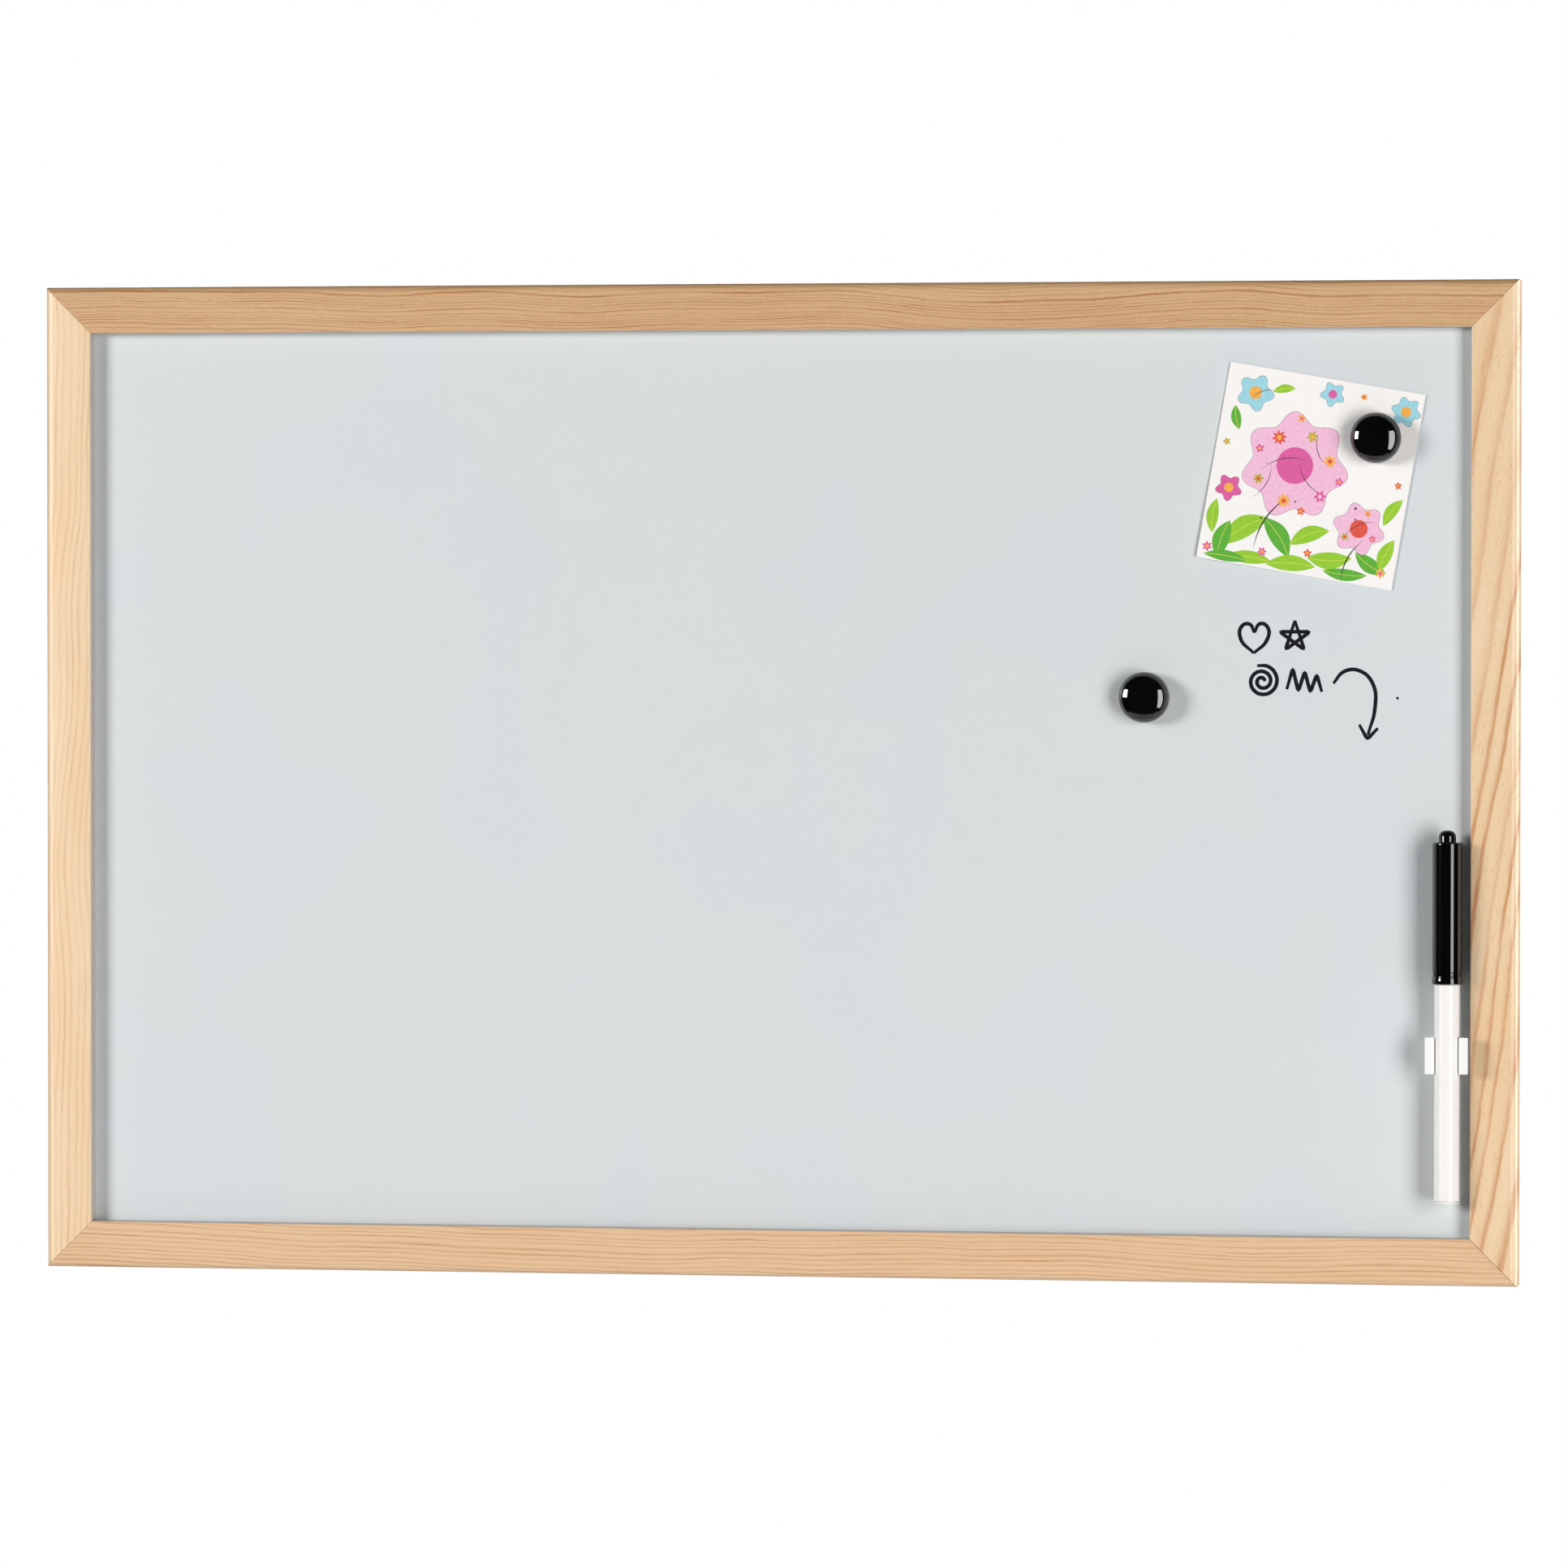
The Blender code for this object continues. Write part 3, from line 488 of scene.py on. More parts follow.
railSizes = {
    "outerRound": 3.2 * mm,
    "innerRound": 0.8 * mm,
    "backChamfer": 0.6 * mm,
    "outerSteps": 9,
    "innerSteps": 4,
    "panelPlay": 0.5 * mm,
    "sheetPlay": 0.3 * mm,
}
railTurns = {"top": 0, "right": 90, "bottom": 180, "left": -90}  # degrees about Y, from the top rail
mitreGaps = {  # at each end, anticlockwise one first
    "top": (0.03 * mm, 0.10 * mm),
    "right": (0.10 * mm, 0.16 * mm),
}
mitreGaps["bottom"] = (mitreGaps["right"][1], 0.09 * mm)
mitreGaps["left"] = (mitreGaps["bottom"][1], mitreGaps["top"][0])


def makeRail(side):
    low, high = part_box("rail_" + side)
    upright = side in ("left", "right")
    length = (cadBox[1].z - cadBox[0].z) if upright else (cadBox[1].x - cadBox[0].x)
    face = high.x - low.x if upright else high.z - low.z
    front = low.y
    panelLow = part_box("backing_panel")[0]
    rebate = panelLow.x - railSizes["panelPlay"] - cadBox[0].x
    lipBack = sheetFront - railSizes["sheetPlay"]
    bpy.ops.mesh.primitive_cube_add(
        size=1, location=(0, (front + lipBack) / 2, -face / 2), scale=(length, lipBack - front, face)
    )
    rail = freshPiece("rail_" + side + "_wood")
    editMode(rail)
    bpy.ops.mesh.bisect(plane_co=(0, 0, -rebate), plane_no=(0, 0, 1))
    pick(rail, "FACE", lambda f: f.normal.y > 0.9 and f.calc_center_median().z > -rebate)
    bpy.ops.mesh.extrude_region_move(TRANSFORM_OT_translate={"value": (0, -lipBack, 0)})

    def longEdge(y, z):
        return lambda edge: all(close(v.co.y, y) and close(v.co.z, z) for v in edge.verts)

    for y, z, width, steps in (
        (front, 0, railSizes["outerRound"], railSizes["outerSteps"]),
        (front, -face, railSizes["innerRound"], railSizes["innerSteps"]),
        (0, 0, railSizes["backChamfer"], 2),
        (0, -rebate, railSizes["backChamfer"] / 2, 2),
    ):
        pick(rail, "EDGE", longEdge(y, z))
        roundEdges(width, steps)
    for end, gap in zip((-1, 1), mitreGaps[side]):  # saw the mitres
        normal = Vector((end, 0, -1)).normalized()
        corner = Vector((end * length / 2, 0, 0)) - normal * gap / 2
        pickAll()
        bpy.ops.mesh.bisect(plane_co=corner, plane_no=normal, use_fill=True, clear_outer=True)
    faceOutward()
    outerEdge, innerEdge = {
        "top": (high.z, low.z), "bottom": (low.z, high.z), "left": (low.x, high.x), "right": (high.x, low.x),
    }[side]
    place = (outerEdge, 0, (low.z + high.z) / 2) if upright else (0, 0, outerEdge)
    settle(rail, place, (0, math.radians(railTurns[side]), 0))
    smooth(rail)
    pine = pineMaterial("pine_" + side, pineLooks[side], upright, innerEdge)
    seat(rail, pine, "board", "pine_" + side, "rail_" + side)


for railSide in ("top", "bottom", "left", "right"):
    makeRail(railSide)


# Lacquered sheet
enamelLook = {
    "cool": (216, 221, 224),
    "green": (218, 222, 220),
    "toneSwing": 0.008,
    "roughness": 0.32,
    "roughnessSwing": 0.04,
    "specks": {"Spacing": 34, "Size": 0.75, "Share": 0.16},
    "speckColour": (196, 196, 192),
    "speckStrength": 0.55,
}


def enamelMaterial():
    look = enamelLook
    dull, dullSwing, toneSwing = look["roughness"], look["roughnessSwing"], look["toneSwing"]
    bench = Finish("sheet_enamel", roughness=dull)
    x, y, z = bench.split(bench.place)
    flat = bench.join(x, 0, z)
    fine, cloud = bench.group(fineGroup, Place=flat, Fineness=0.9, Cloud=0.011)
    colour = bench.mix(bench.remap(cloud, 0.38, 0.62), rgb(*look["cool"]), rgb(*look["green"]))
    colour = bench.toned(colour, fine, 1 - toneSwing, 1 + toneSwing, 0.25, 0.75)
    speck = bench.times(bench.group(speckGroup, Place=flat, **look["specks"])[0], look["speckStrength"])
    bench.paint(bench.mix(speck, colour, rgb(*look["speckColour"])))
    bench.roughen(bench.remap(fine, 0.3, 0.7, dull - dullSwing, dull + dullSwing))
    bench.emboss(fine, 0.01 * mm, 0.3)
    return bench.material


dress(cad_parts["writing_sheet"], enamelMaterial())


# Plain materials: moulded plastic, felt, foam, ferrite, steel, hardboard
def mouldedPlastic(name, colour, roughness, ior=1.5, grain=0.02, relief=0.004):
    bench = Finish(name, roughness=roughness, ior=ior)
    fine, cloud = bench.group(fineGroup, Place=bench.place, Fineness=3, Cloud=0.12)
    bench.paint(bench.toned(rgb(*colour), cloud, 1 - grain, 1 + grain))
    bench.roughen(bench.remap(fine, 0.3, 0.7, roughness * 0.85, roughness * 1.2))
    bench.emboss(fine, relief * mm, 0.5)
    return bench.material


def rawStuff(name, colour, dark, roughness, fineness, relief):  # felt, foam, ferrite
    bench = Finish(name, roughness=roughness)
    fine, cloud = bench.group(fineGroup, Place=bench.place, Fineness=fineness, Cloud=0.3)
    bench.paint(bench.mix(bench.remap(fine, 0.3, 0.7), rgb(*colour), rgb(*dark)))
    dull = min(1, roughness * 1.1)
    bench.roughen(bench.remap(cloud, 0.3, 0.7, roughness * 0.9, dull))
    bench.emboss(fine, relief * mm, 0.8)
    return bench.material


def platedSteel(name, colour, dull, roughness):  # zinc spangle with fine scratches
    bench = Finish(name, roughness=roughness, metallic=1)
    fine, cloud = bench.group(fineGroup, Place=bench.place, Fineness=2.5, Cloud=0.35)
    spangle = bench.remap(cloud, 0.35, 0.65)
    bench.paint(bench.mix(spangle, rgb(*colour), rgb(*dull)))
    bench.roughen(bench.remap(fine, 0.3, 0.7, roughness * 0.75, roughness * 1.35))
    bench.emboss(fine, 0.02 * mm, 0.5)
    return bench.material


hardboardLook = {
    "light": (150, 112, 78),
    "dark": (112, 78, 50),
    "fibre": (176, 140, 104),
    "fibres": {"Spacing": 2.6, "Size": 0.5, "Share": 0.45},
    "fibreStrength": 0.6,
    "relief": 0.08 * mm,
}


def hardboardMaterial():
    look = hardboardLook
    bench = Finish("fibreboard", roughness=0.8)
    fine, cloud = bench.group(fineGroup, Place=bench.place, Fineness=1.1, Cloud=0.03)
    colour = bench.mix(bench.remap(fine, 0.3, 0.7), rgb(*look["light"]), rgb(*look["dark"]))
    colour = bench.mix(bench.remap(cloud, 0.35, 0.65, 0, 0.35), colour, rgb(*look["light"]))
    speck = bench.group(speckGroup, Place=bench.place, **look["fibres"])[0]
    colour = bench.mix(bench.times(speck, look["fibreStrength"]), colour, rgb(*look["fibre"]))
    bench.paint(colour)
    bench.emboss(bench.plus(fine, speck), look["relief"], 0.6)
    return bench.material


zinc = platedSteel("zinc_steel", (205, 207, 210), (168, 172, 178), 0.46)
nailSteel = platedSteel("nail_steel", (186, 186, 188), (150, 150, 152), 0.3)
felt = rawStuff("felt", (34, 34, 36), (16, 16, 18), 0.95, 6, 0.12)
foam = rawStuff("pad_foam", (236, 236, 232), (214, 214, 208), 0.85, 5, 0.05)
ferrite = rawStuff("ferrite", (66, 66, 70), (48, 48, 52), 0.6, 3, 0.03)
whiteBarrel = mouldedPlastic("barrel_plastic", (247, 244, 241), 0.32, grain=0.006)
whiteClip = mouldedPlastic("clip_plastic", (246, 246, 244), 0.38, grain=0.008)
blackCap = mouldedPlastic("cap_plastic", (5, 6, 6), 0.07, grain=0.1, relief=0.001)
blackMagnet = mouldedPlastic("magnet_plastic", (6, 7, 8), 0.05, ior=1.6, grain=0.1, relief=0.0006)

plainNodes = {
    "backing_panel": hardboardMaterial(),
    "clip_pad": foam,
    "marker_reservoir": felt,
    "magnet_free_core": ferrite,
    "magnet_card_core": ferrite,
}
for nodeName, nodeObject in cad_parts.items():
    if nodeName.startswith(("corner_nail", "back_point")) or nodeName in ("hanger_left", "hanger_right"):
        dress(nodeObject, zinc)
    elif nodeName.startswith("hanger_nail"):
        dress(nodeObject, nailSteel)
    elif nodeName in plainNodes:
        dress(nodeObject, plainNodes[nodeName])
print("whiteboard: carried-over nodes dressed")


# Magnets
magnetSizes = {
    "domeRadius": 18 * mm,
    "flank": 1.8 * mm,  # as wide as the curved flank looks from the front
    "flankTilts": (47, 80),  # degrees from the dome's axis, at its top and foot
    "crease": 0.35 * mm,
    "foot": 0.35 * mm,
    "wall": 2.2 * mm,
    "pocket": 3.6 * mm,
}


def modelMagnet(node):  # at the origin, its dome upwards
    low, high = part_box(node)
    radius = (high.x - low.x) / 2
    height = high.y - low.y
    size = magnetSizes
    dome, flank, foot = size["domeRadius"], size["flank"], size["foot"]
    topTilt, footTilt = size["flankTilts"]
    edge = radius - flank
    tilt = math.degrees(math.asin(edge / dome))
    edgeHeight = height - dome + dome * math.cos(math.radians(tilt))
    topSine, topCosine = math.sin(math.radians(topTilt)), math.cos(math.radians(topTilt))
    flankRound = flank / (math.sin(math.radians(footTilt)) - topSine)
    flankCentre = (edge - flankRound * topSine, edgeHeight - flankRound * topCosine)
    pocketRadius = radius - size["wall"]
    profile = [(0, height)] + arc((0, height - dome), dome, 90, 90 - tilt, 20)[1:]
    profile += arc(flankCentre, flankRound, 90 - topTilt, 90 - footTilt, 12)[1:]
    profile += arc((radius - foot, foot), foot, 0, -90, 4)
    profile += [(pocketRadius, 0), (pocketRadius, size["pocket"]), (0, size["pocket"])]
    magnet = lathe("magnet_shell", profile, 128, closed=False)
    editMode(magnet)

    def onCrease(vert):
        return close(vert.co.z, edgeHeight) and close(math.hypot(vert.co.x, vert.co.y), edge)

    pick(magnet, "EDGE", lambda e: all(onCrease(vert) for vert in e.verts))
    roundEdges(size["crease"], 4)
    objectMode()
    smooth(magnet)
    return magnet


def placeMagnet(magnet, node):
    low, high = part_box(node)
    magnet.name = magnet.data.name = node.replace("_housing", "_shell")
    settle(magnet, ((low.x + high.x) / 2, high.y, (low.z + high.z) / 2), (math.pi / 2, 0, 0))
    seat(magnet, blackMagnet, "board", "magnet_plastic", node)


def makeMagnets():  # one is modelled, and its copy holds the card
    freeMagnet = modelMagnet("magnet_free_housing")
    takeUp(freeMagnet)
    bpy.ops.object.duplicate()
    cardMagnet = bpy.context.object
    placeMagnet(freeMagnet, "magnet_free_housing")
    placeMagnet(cardMagnet, "magnet_card_housing")


makeMagnets()


# Marker
markerSizes = {
    "barrelWall": 0.9 * mm,
    "neckLength": 13 * mm,
    "neckRadius": 4.5 * mm,
    "edge": 0.25 * mm,
    "plugFlange": 0.8 * mm,
    "seamHeight": 0.38 * mm,
    "seamDepth": 0.8 * mm,
    "hold": 0.3 * mm,  # rings beside the rounds keep the long straight walls flat
    "play": 0.3 * mm,
    "capRadius": 5.85 * mm,
    "capBore": 4.8 * mm,
    "capCrown": 1.6 * mm,
    "capShoulder": 0.6 * mm,
    "collarHeight": 2.5 * mm,
    "grooveWidth": 0.6 * mm,
    "grooveDepth": 0.3 * mm,
    "knobRadius": 3.45 * mm,
    "knobHeight": 4.8 * mm,
    "knobRound": 2.7 * mm,
    "knobFillet": 0.35 * mm,
    "capRim": 0.2 * mm,
    "capMouth": 0.15 * mm,
    "nibHole": 2 * mm,
    "coneFlange": 1.2 * mm,
    "coneStep": 0.8 * mm,
    "coneTip": 0.5 * mm,
}
barrelLow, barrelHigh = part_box("marker_barrel")
markerX = (barrelLow.x + barrelHigh.x) / 2
markerY = (barrelLow.y + barrelHigh.y) / 2
barrelRadius = (barrelHigh.x - barrelLow.x) / 2


def standOn(piece, height):
    settle(piece, (markerX, markerY, height))


def makeBarrel():
    size = markerSizes
    edge, wall = size["edge"], size["barrelWall"]
    top = barrelHigh.z - barrelLow.z
    shoulder = top - size["neckLength"]
    neck = size["neckRadius"]
    bore = barrelRadius - wall
    profile = [(neck - wall, top), *arc((neck - edge, top - edge), edge, 90, 0, 3), (neck, shoulder)]
    profile += arc((barrelRadius - edge, shoulder - edge), edge, 90, 0, 3)
    profile += [(barrelRadius, shoulder - edge - size["hold"]), (barrelRadius, edge / 2 + size["hold"])]
    profile += arc((barrelRadius - edge / 2, edge / 2), edge / 2, 0, -90, 2)
    profile += [(bore, 0), (bore, shoulder - wall), (neck - wall, shoulder)]
    barrel = lathe("marker_barrel_shell", profile)
    standOn(barrel, barrelLow.z)
    seat(barrel, whiteBarrel, "board", "barrel_plastic", "marker_barrel")


def makePlug():
    size = markerSizes
    low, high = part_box("marker_end_plug")
    flange = size["plugFlange"]
    spigot = barrelRadius - size["barrelWall"] - size["play"]
    top = high.z - low.z
    leadIn = flange * 0.6
    profile = [(0, top), (spigot - leadIn, top), (spigot, top - 2 * leadIn), (spigot, flange)]
    rim, seam = flange - size["seamHeight"], barrelRadius - size["seamDepth"]
    foot = rim * 0.6
    profile += [(seam, flange), (seam, rim), (barrelRadius - rim / 3, rim)]
    profile += [*arc((barrelRadius - foot, foot), foot, 0, -90, 5), (0, 0)]
    plug = lathe("marker_plug", profile, closed=False)
    standOn(plug, low.z)
    seat(plug, whiteBarrel, "board", "barrel_plastic", "marker_end_plug")


def makeCap():
    size = markerSizes
    low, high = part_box("marker_cap")
    radius, bore = size["capRadius"], size["capBore"]
    collar = (high.x - low.x) / 2
    knobTop = high.z - low.z
    top = knobTop - size["knobHeight"]
    knob, knobRound, shoulder = size["knobRadius"], size["knobRound"], size["capShoulder"]
    groove, sunk = size["grooveWidth"], radius - size["grooveDepth"]
    fillet, rim, mouth = size["knobFillet"], size["capRim"], size["capMouth"]
    profile = [(0, knobTop), *arc((knob - knobRound, knobTop - knobRound), knobRound, 90, 0, 10)]
    profile += arc((knob + fillet, top + fillet), fillet, 180, 270, 3)
    profile += arc((radius - shoulder, top - shoulder), shoulder, 90, 0, 6)
    profile.append((radius, top - shoulder - size["hold"]))
    profile.append((radius, size["collarHeight"] + 4 * groove + size["hold"]))
    for step in (3, 1):
        upper = size["collarHeight"] + (step + 1) * groove
        profile += [(radius, upper), (sunk, upper - groove / 3)]
        profile += [(sunk, upper - 2 * groove / 3), (radius, upper - groove)]
    profile += [(radius, size["collarHeight"] + groove / 2), (collar, size["collarHeight"])]
    profile += arc((collar - rim, rim), rim, 0, -90, 3)
    profile += arc((bore + mouth, mouth), mouth, 270, 180, 2)
    profile += [(bore, top - size["capCrown"]), (0, top - size["capCrown"])]
    cap = lathe("marker_cap_shell", profile, closed=False)
    standOn(cap, low.z)
    seat(cap, blackCap, "marker_cap", "cap_plastic", "marker_cap")


def makeHolder():
    size = markerSizes
    low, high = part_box("marker_nib_holder")
    hole, neck, tip, flange = size["nibHole"], size["neckRadius"], size["coneTip"], size["coneFlange"]
    spigot = neck - size["barrelWall"] - size["play"]
    foot = barrelHigh.z + size["play"] - low.z
    top = high.z - low.z
    profile = [(hole, top), *arc((hole + tip, top - tip), tip, 90, 20, 4)]
    profile += [(neck - size["coneStep"], foot + 2 * flange), (neck, foot + flange), (neck, foot)]
    profile += [(spigot, foot), (spigot, 0), (hole, 0)]
    holder = lathe("marker_holder_cone", profile)
    standOn(holder, low.z)
    seat(holder, blackCap, "board", "cap_plastic", "marker_nib_holder")


def makeNib():
    low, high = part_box("marker_nib")
    radius = (high.x - low.x) / 2
    top = high.z - low.z
    profile = [*arc((0, top - radius), radius, 90, 0, 10), (radius, 0), (0, 0)]
    profile[0] = (0, top)
    nib = lathe("marker_nib_felt", profile, 48, closed=False)
    standOn(nib, low.z)
    seat(nib, felt, "board", "felt", "marker_nib")


for makeMarkerPiece in (makeBarrel, makePlug, makeCap, makeHolder, makeNib):
    makeMarkerPiece()


# Pen clip
clipSizes = {
    "wall": 1.2 * mm,
    "baseWidth": 9 * mm,
    "gripAngle": 24,
    "bend": 0.8 * mm,
    "edge": 0.22 * mm,
    "turns": 90,
    "barrelPlay": 0.3 * mm,
    "baseOverlap": 0.1 * mm,
}


def makeClip():
    size = clipSizes
    low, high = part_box("pen_clip")
    wall, bend = size["wall"], size["bend"]
    bore = barrelRadius + size["barrelPlay"]
    ring = bore + wall / 2
    halfWidth = (high.x - low.x) / 2
    grip = math.radians(size["gripAngle"])
    bpy.ops.mesh.primitive_circle_add(
        vertices=size["turns"], radius=ring, fill_type="NOTHING", location=(0, 0, 0)
    )
    clip = freshPiece("pen_clip_strip")
    editMode(clip)
    pick(clip, "VERT", lambda vert: -vert.co.y > ring * math.sin(grip) + 1e-6)
    bpy.ops.mesh.delete(type="VERT")
    objectMode()
    for side in (-1, 1):  # each lip rolls out of the mouth in a small bend and ends flat
        editMode(clip)
        tips = [v.co for v in bmesh.from_edit_mesh(clip.data).verts if v.co.x * side > 0]
        tip = min(tips, key=lambda place: place.y).copy()
        pick(clip, "VERT", lambda vert: (vert.co - tip).length < 1e-6)
        angle = math.atan2(-tip.y, abs(tip.x))
        centre = ((ring + bend) * math.cos(angle), (ring + bend) * math.sin(angle))
        route = arc(centre, bend, 180 + math.degrees(angle), 90, 8)[1:]
        route.append((halfWidth, route[-1][1]))
        here = (abs(tip.x), -tip.y)
        for point in route:
            move = (side * (point[0] - here[0]), -(point[1] - here[1]), 0)
            bpy.ops.mesh.extrude_vertices_move(TRANSFORM_OT_translate={"value": move})
            here = point
        objectMode()
    editMode(clip)
    height = high.z - low.z
    bpy.ops.mesh.extrude_edges_move(TRANSFORM_OT_translate={"value": (0, 0, height)})
    faceOutward()
    applyModifier(clip, "SOLIDIFY", thickness=wall, offset=0)
    outer = bore + wall
    baseFront = math.sqrt(outer ** 2 - (size["baseWidth"] / 2) ** 2) - size["baseOverlap"]
    baseScale = (size["baseWidth"], outer - baseFront, height)
    basePlace = (0, (baseFront + outer) / 2, height / 2)
    bpy.ops.mesh.primitive_cube_add(size=1, location=basePlace, scale=baseScale)
    base = freshPiece("clip_base")
    applyModifier(clip, "BOOLEAN", operation="UNION", object=base, solver="EXACT")
    bpy.data.objects.remove(base)
    bpy.ops.mesh.primitive_cylinder_add(
        vertices=size["turns"], radius=bore, depth=3 * height, location=(0, 0, height / 2)
    )
    mandrel = freshPiece("clip_mandrel")
    applyModifier(clip, "BOOLEAN", operation="DIFFERENCE", object=mandrel, solver="EXACT")
    bpy.data.objects.remove(mandrel)
    sharp = math.radians(50)
    applyModifier(clip, "BEVEL", width=size["edge"], segments=3, limit_method="ANGLE", angle_limit=sharp)
    settle(clip, (markerX, markerY, low.z))
    smooth(clip)
    seat(clip, whiteClip, "board", "clip_plastic", "pen_clip")


makeClip()


# Ink on the sheet: loose doodles with a marker
inkLook = {
    "width": 1.6 * mm,
    "film": 0.05 * mm,
    "lift": 0.03 * mm,
    "colour": (14, 15, 18),
    "dry": (34, 36, 42),
}
inkDot = {"place": (251.6, 33.8), "radius": 0.55 * mm}  # place in millimetres from the sheet's middle
fromMiddle = Vector((0, 0, boardMiddle.z))


def strokeCurve(name, points, sharp, tipShare=0.75):  # a line drawn through points, round at both ends
    bpy.ops.curve.primitive_nurbs_path_add(location=(0, 0, 0))
    line = bpy.context.object
    line.name = name
    line.data.splines.clear()
    spline = line.data.splines.new("BEZIER")
    spline.bezier_points.add(len(points) - 1)
    for knot, (x, z) in zip(spline.bezier_points, points):
        knot.co = (x * mm, 0, z * mm)
        knot.handle_left_type = knot.handle_right_type = "VECTOR" if sharp else "AUTO"
    line.data.resolution_u = 10
    line.data.bevel_depth = inkLook["width"] / 2
    line.data.bevel_resolution = 3
    line.data.use_fill_caps = True
    for knot in (spline.bezier_points[0], spline.bezier_points[-1]):
        knot.radius = tipShare
    return line


def spiralPoints(x, z, reach, turns):
    steps = round(turns * 9)
    shares = [step / steps for step in range(steps + 1)]
    wound = [(reach * (0.12 + 0.88 * share), turns * math.tau * share) for share in shares]
    return [(x + away * math.cos(angle), z + away * math.sin(angle)) for away, angle in wound]


def starPoints(x, z, reach):  # five corners in one go, every second one next
    corners = [math.radians(90 + 144 * step) for step in range(6)]
    return [(x + reach * math.cos(angle), z + reach * math.sin(angle)) for angle in corners]


def penCorners(points, reach=1):  # a pen turns a sharp corner in three short steps
    spots = [Vector(point) for point in points]
    path = [spots[0]]
    for before, corner, after in zip(spots, spots[1:], spots[2:]):
        arriving = corner + (before - corner).normalized() * reach
        leaving = corner + (after - corner).normalized() * reach
        path += [arriving, (arriving + 2 * corner + leaving) / 4, leaving]
    return [*path, spots[-1]]


smoothStrokes = [  # millimetres from the sheet's middle
    [(194.2, 51.6), (188.9, 57.4), (189.4, 62.4), (192.4, 63.2), (194.4, 59.8)],
    [(194.4, 59.8), (196.8, 63.4), (199.8, 61.8), (199.4, 56.8), (194.2, 51.6)],
    spiralPoints(197.6, 40.4, 6.6, 2.3),
    [(226, 39.6), (230.4, 44.4), (236.6, 44.6), (241.8, 39.4), (242.6, 29.6), (239.8, 19)],
]
sharpStrokes = [
    starPoints(210.6, 58.2, 6.4),
    [(207.4, 37.2), (209.8, 45.6), (212, 36.4), (214.6, 44.4), (216.8, 36), (219.4, 43.2), (221.4, 36.2)],
    [(236.4, 23.2), (239.6, 17.4), (243.8, 21.8)],
]


def inkMaterial():
    bench = Finish("board_ink", roughness=0.3)
    fine, cloud = bench.group(fineGroup, Place=bench.place, Fineness=1.2, Cloud=0.2)
    colour = bench.mix(bench.remap(fine, 0.3, 0.75), rgb(*inkLook["colour"]), rgb(*inkLook["dry"]))
    bench.paint(colour)
    return bench.material


def makeInk():
    strokes = [strokeCurve("stroke", points, False) for points in smoothStrokes]
    strokes += [strokeCurve("stroke", penCorners(points), True) for points in sharpStrokes]
    x, z = inkDot["place"]
    place, radius = (x * mm, 0, z * mm), inkDot["radius"]
    bpy.ops.mesh.primitive_uv_sphere_add(segments=20, ring_count=10, radius=radius, location=place)
    strokes.append(bpy.context.object)
    deselectAll()
    for stroke in strokes:
        stroke.select_set(True)
    bpy.context.view_layer.objects.active = strokes[-1]
    bpy.ops.object.convert(target="MESH")
    bpy.ops.object.join()
    ink = bpy.context.object
    ink.name = "ink_doodles"
    takeUp(ink)
    bpy.ops.object.transform_apply(location=True, rotation=True, scale=True)
    editMode(ink)
    bpy.ops.transform.resize(value=(1, inkLook["film"] / inkLook["width"], 1), center_override=(0, 0, 0))
    bpy.ops.mesh.remove_doubles(threshold=0.001 * mm)
    objectMode()
    settle(ink, fromMiddle + Vector((0, sheetFront - inkLook["lift"], 0)))
    smooth(ink, 60)
    seat(ink, inkMaterial(), "board", None)


makeInk()


# Card: white stock with a printed flower design
cardLow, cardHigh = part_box("card")
cardLook = {
    "turn": 9.9,  # degrees clockwise as one faces it
    "stock": (247, 244, 241),
    "edge": 0.12 * mm,
    "cells": 26,
    "lift": 0.7 * mm,  # how far the corner away from the magnet curls up
    "reach": 55 * mm,
    "wash": (0.90, 1.06),
    "rib": (222, 226, 96),
    "ribStrength": 0.6,
    "rim": (120, 104, 116),
    "rimStrength": 0.55,
    "smallNotch": 0.42,
    "paleFrom": 0.72,  # seeds are printed only where the ink is darker
    "seeds": {"Spacing": 4.6, "Size": 0.62, "Share": 0.5},
}
pink, magenta, red = (244, 190, 218), (222, 92, 160), (226, 84, 66)
orange, olive, green = (246, 176, 74), (186, 172, 66), (150, 203, 44)
leafGreen, blue, outline = (92, 176, 52), (158, 215, 228), (46, 48, 50)
softEdge = 0.06  # of a printed shape, in card millimetres
drawnLine = (0.22, 0.10)  # how far from its middle a drawn line ends, and is full
eyeShare = 0.34


def makeBlossomGroup():  # a flower seen from above: Petal, Rim and Eye masks; sizes in card millimetres
    numbers = {"Radius": 5, "Petals": 5, "Notch": 0.3, "Turn": 0}
    group, given, out = newGroup("blossomPrint", ("Place", "Centre"), numbers, ("Petal", "Rim", "Eye"))
    bench = Bench(group)
    offset = bench.vector("SUBTRACT", given["Place"], given["Centre"])
    x, y, _ = bench.split(offset)
    distance = bench.vector("LENGTH", offset)
    angle = bench.math("ARCTAN2", y, x)
    swing = bench.math("COSINE", bench.math("MULTIPLY_ADD", angle, given["Petals"], given["Turn"]))
    valley = bench.times(bench.minus(1, swing), 0.5)
    dip = bench.times(valley, given["Notch"])
    edge = bench.times(given["Radius"], bench.minus(1, dip))
    inside = bench.minus(edge, distance)
    bench.link(bench.remap(inside, -softEdge, softEdge), out["Petal"])
    bench.link(bench.remap(bench.math("ABSOLUTE", inside), *drawnLine), out["Rim"])
    eye = bench.minus(bench.times(given["Radius"], eyeShare), distance)
    bench.link(bench.remap(eye, -softEdge, softEdge), out["Eye"])
    return group


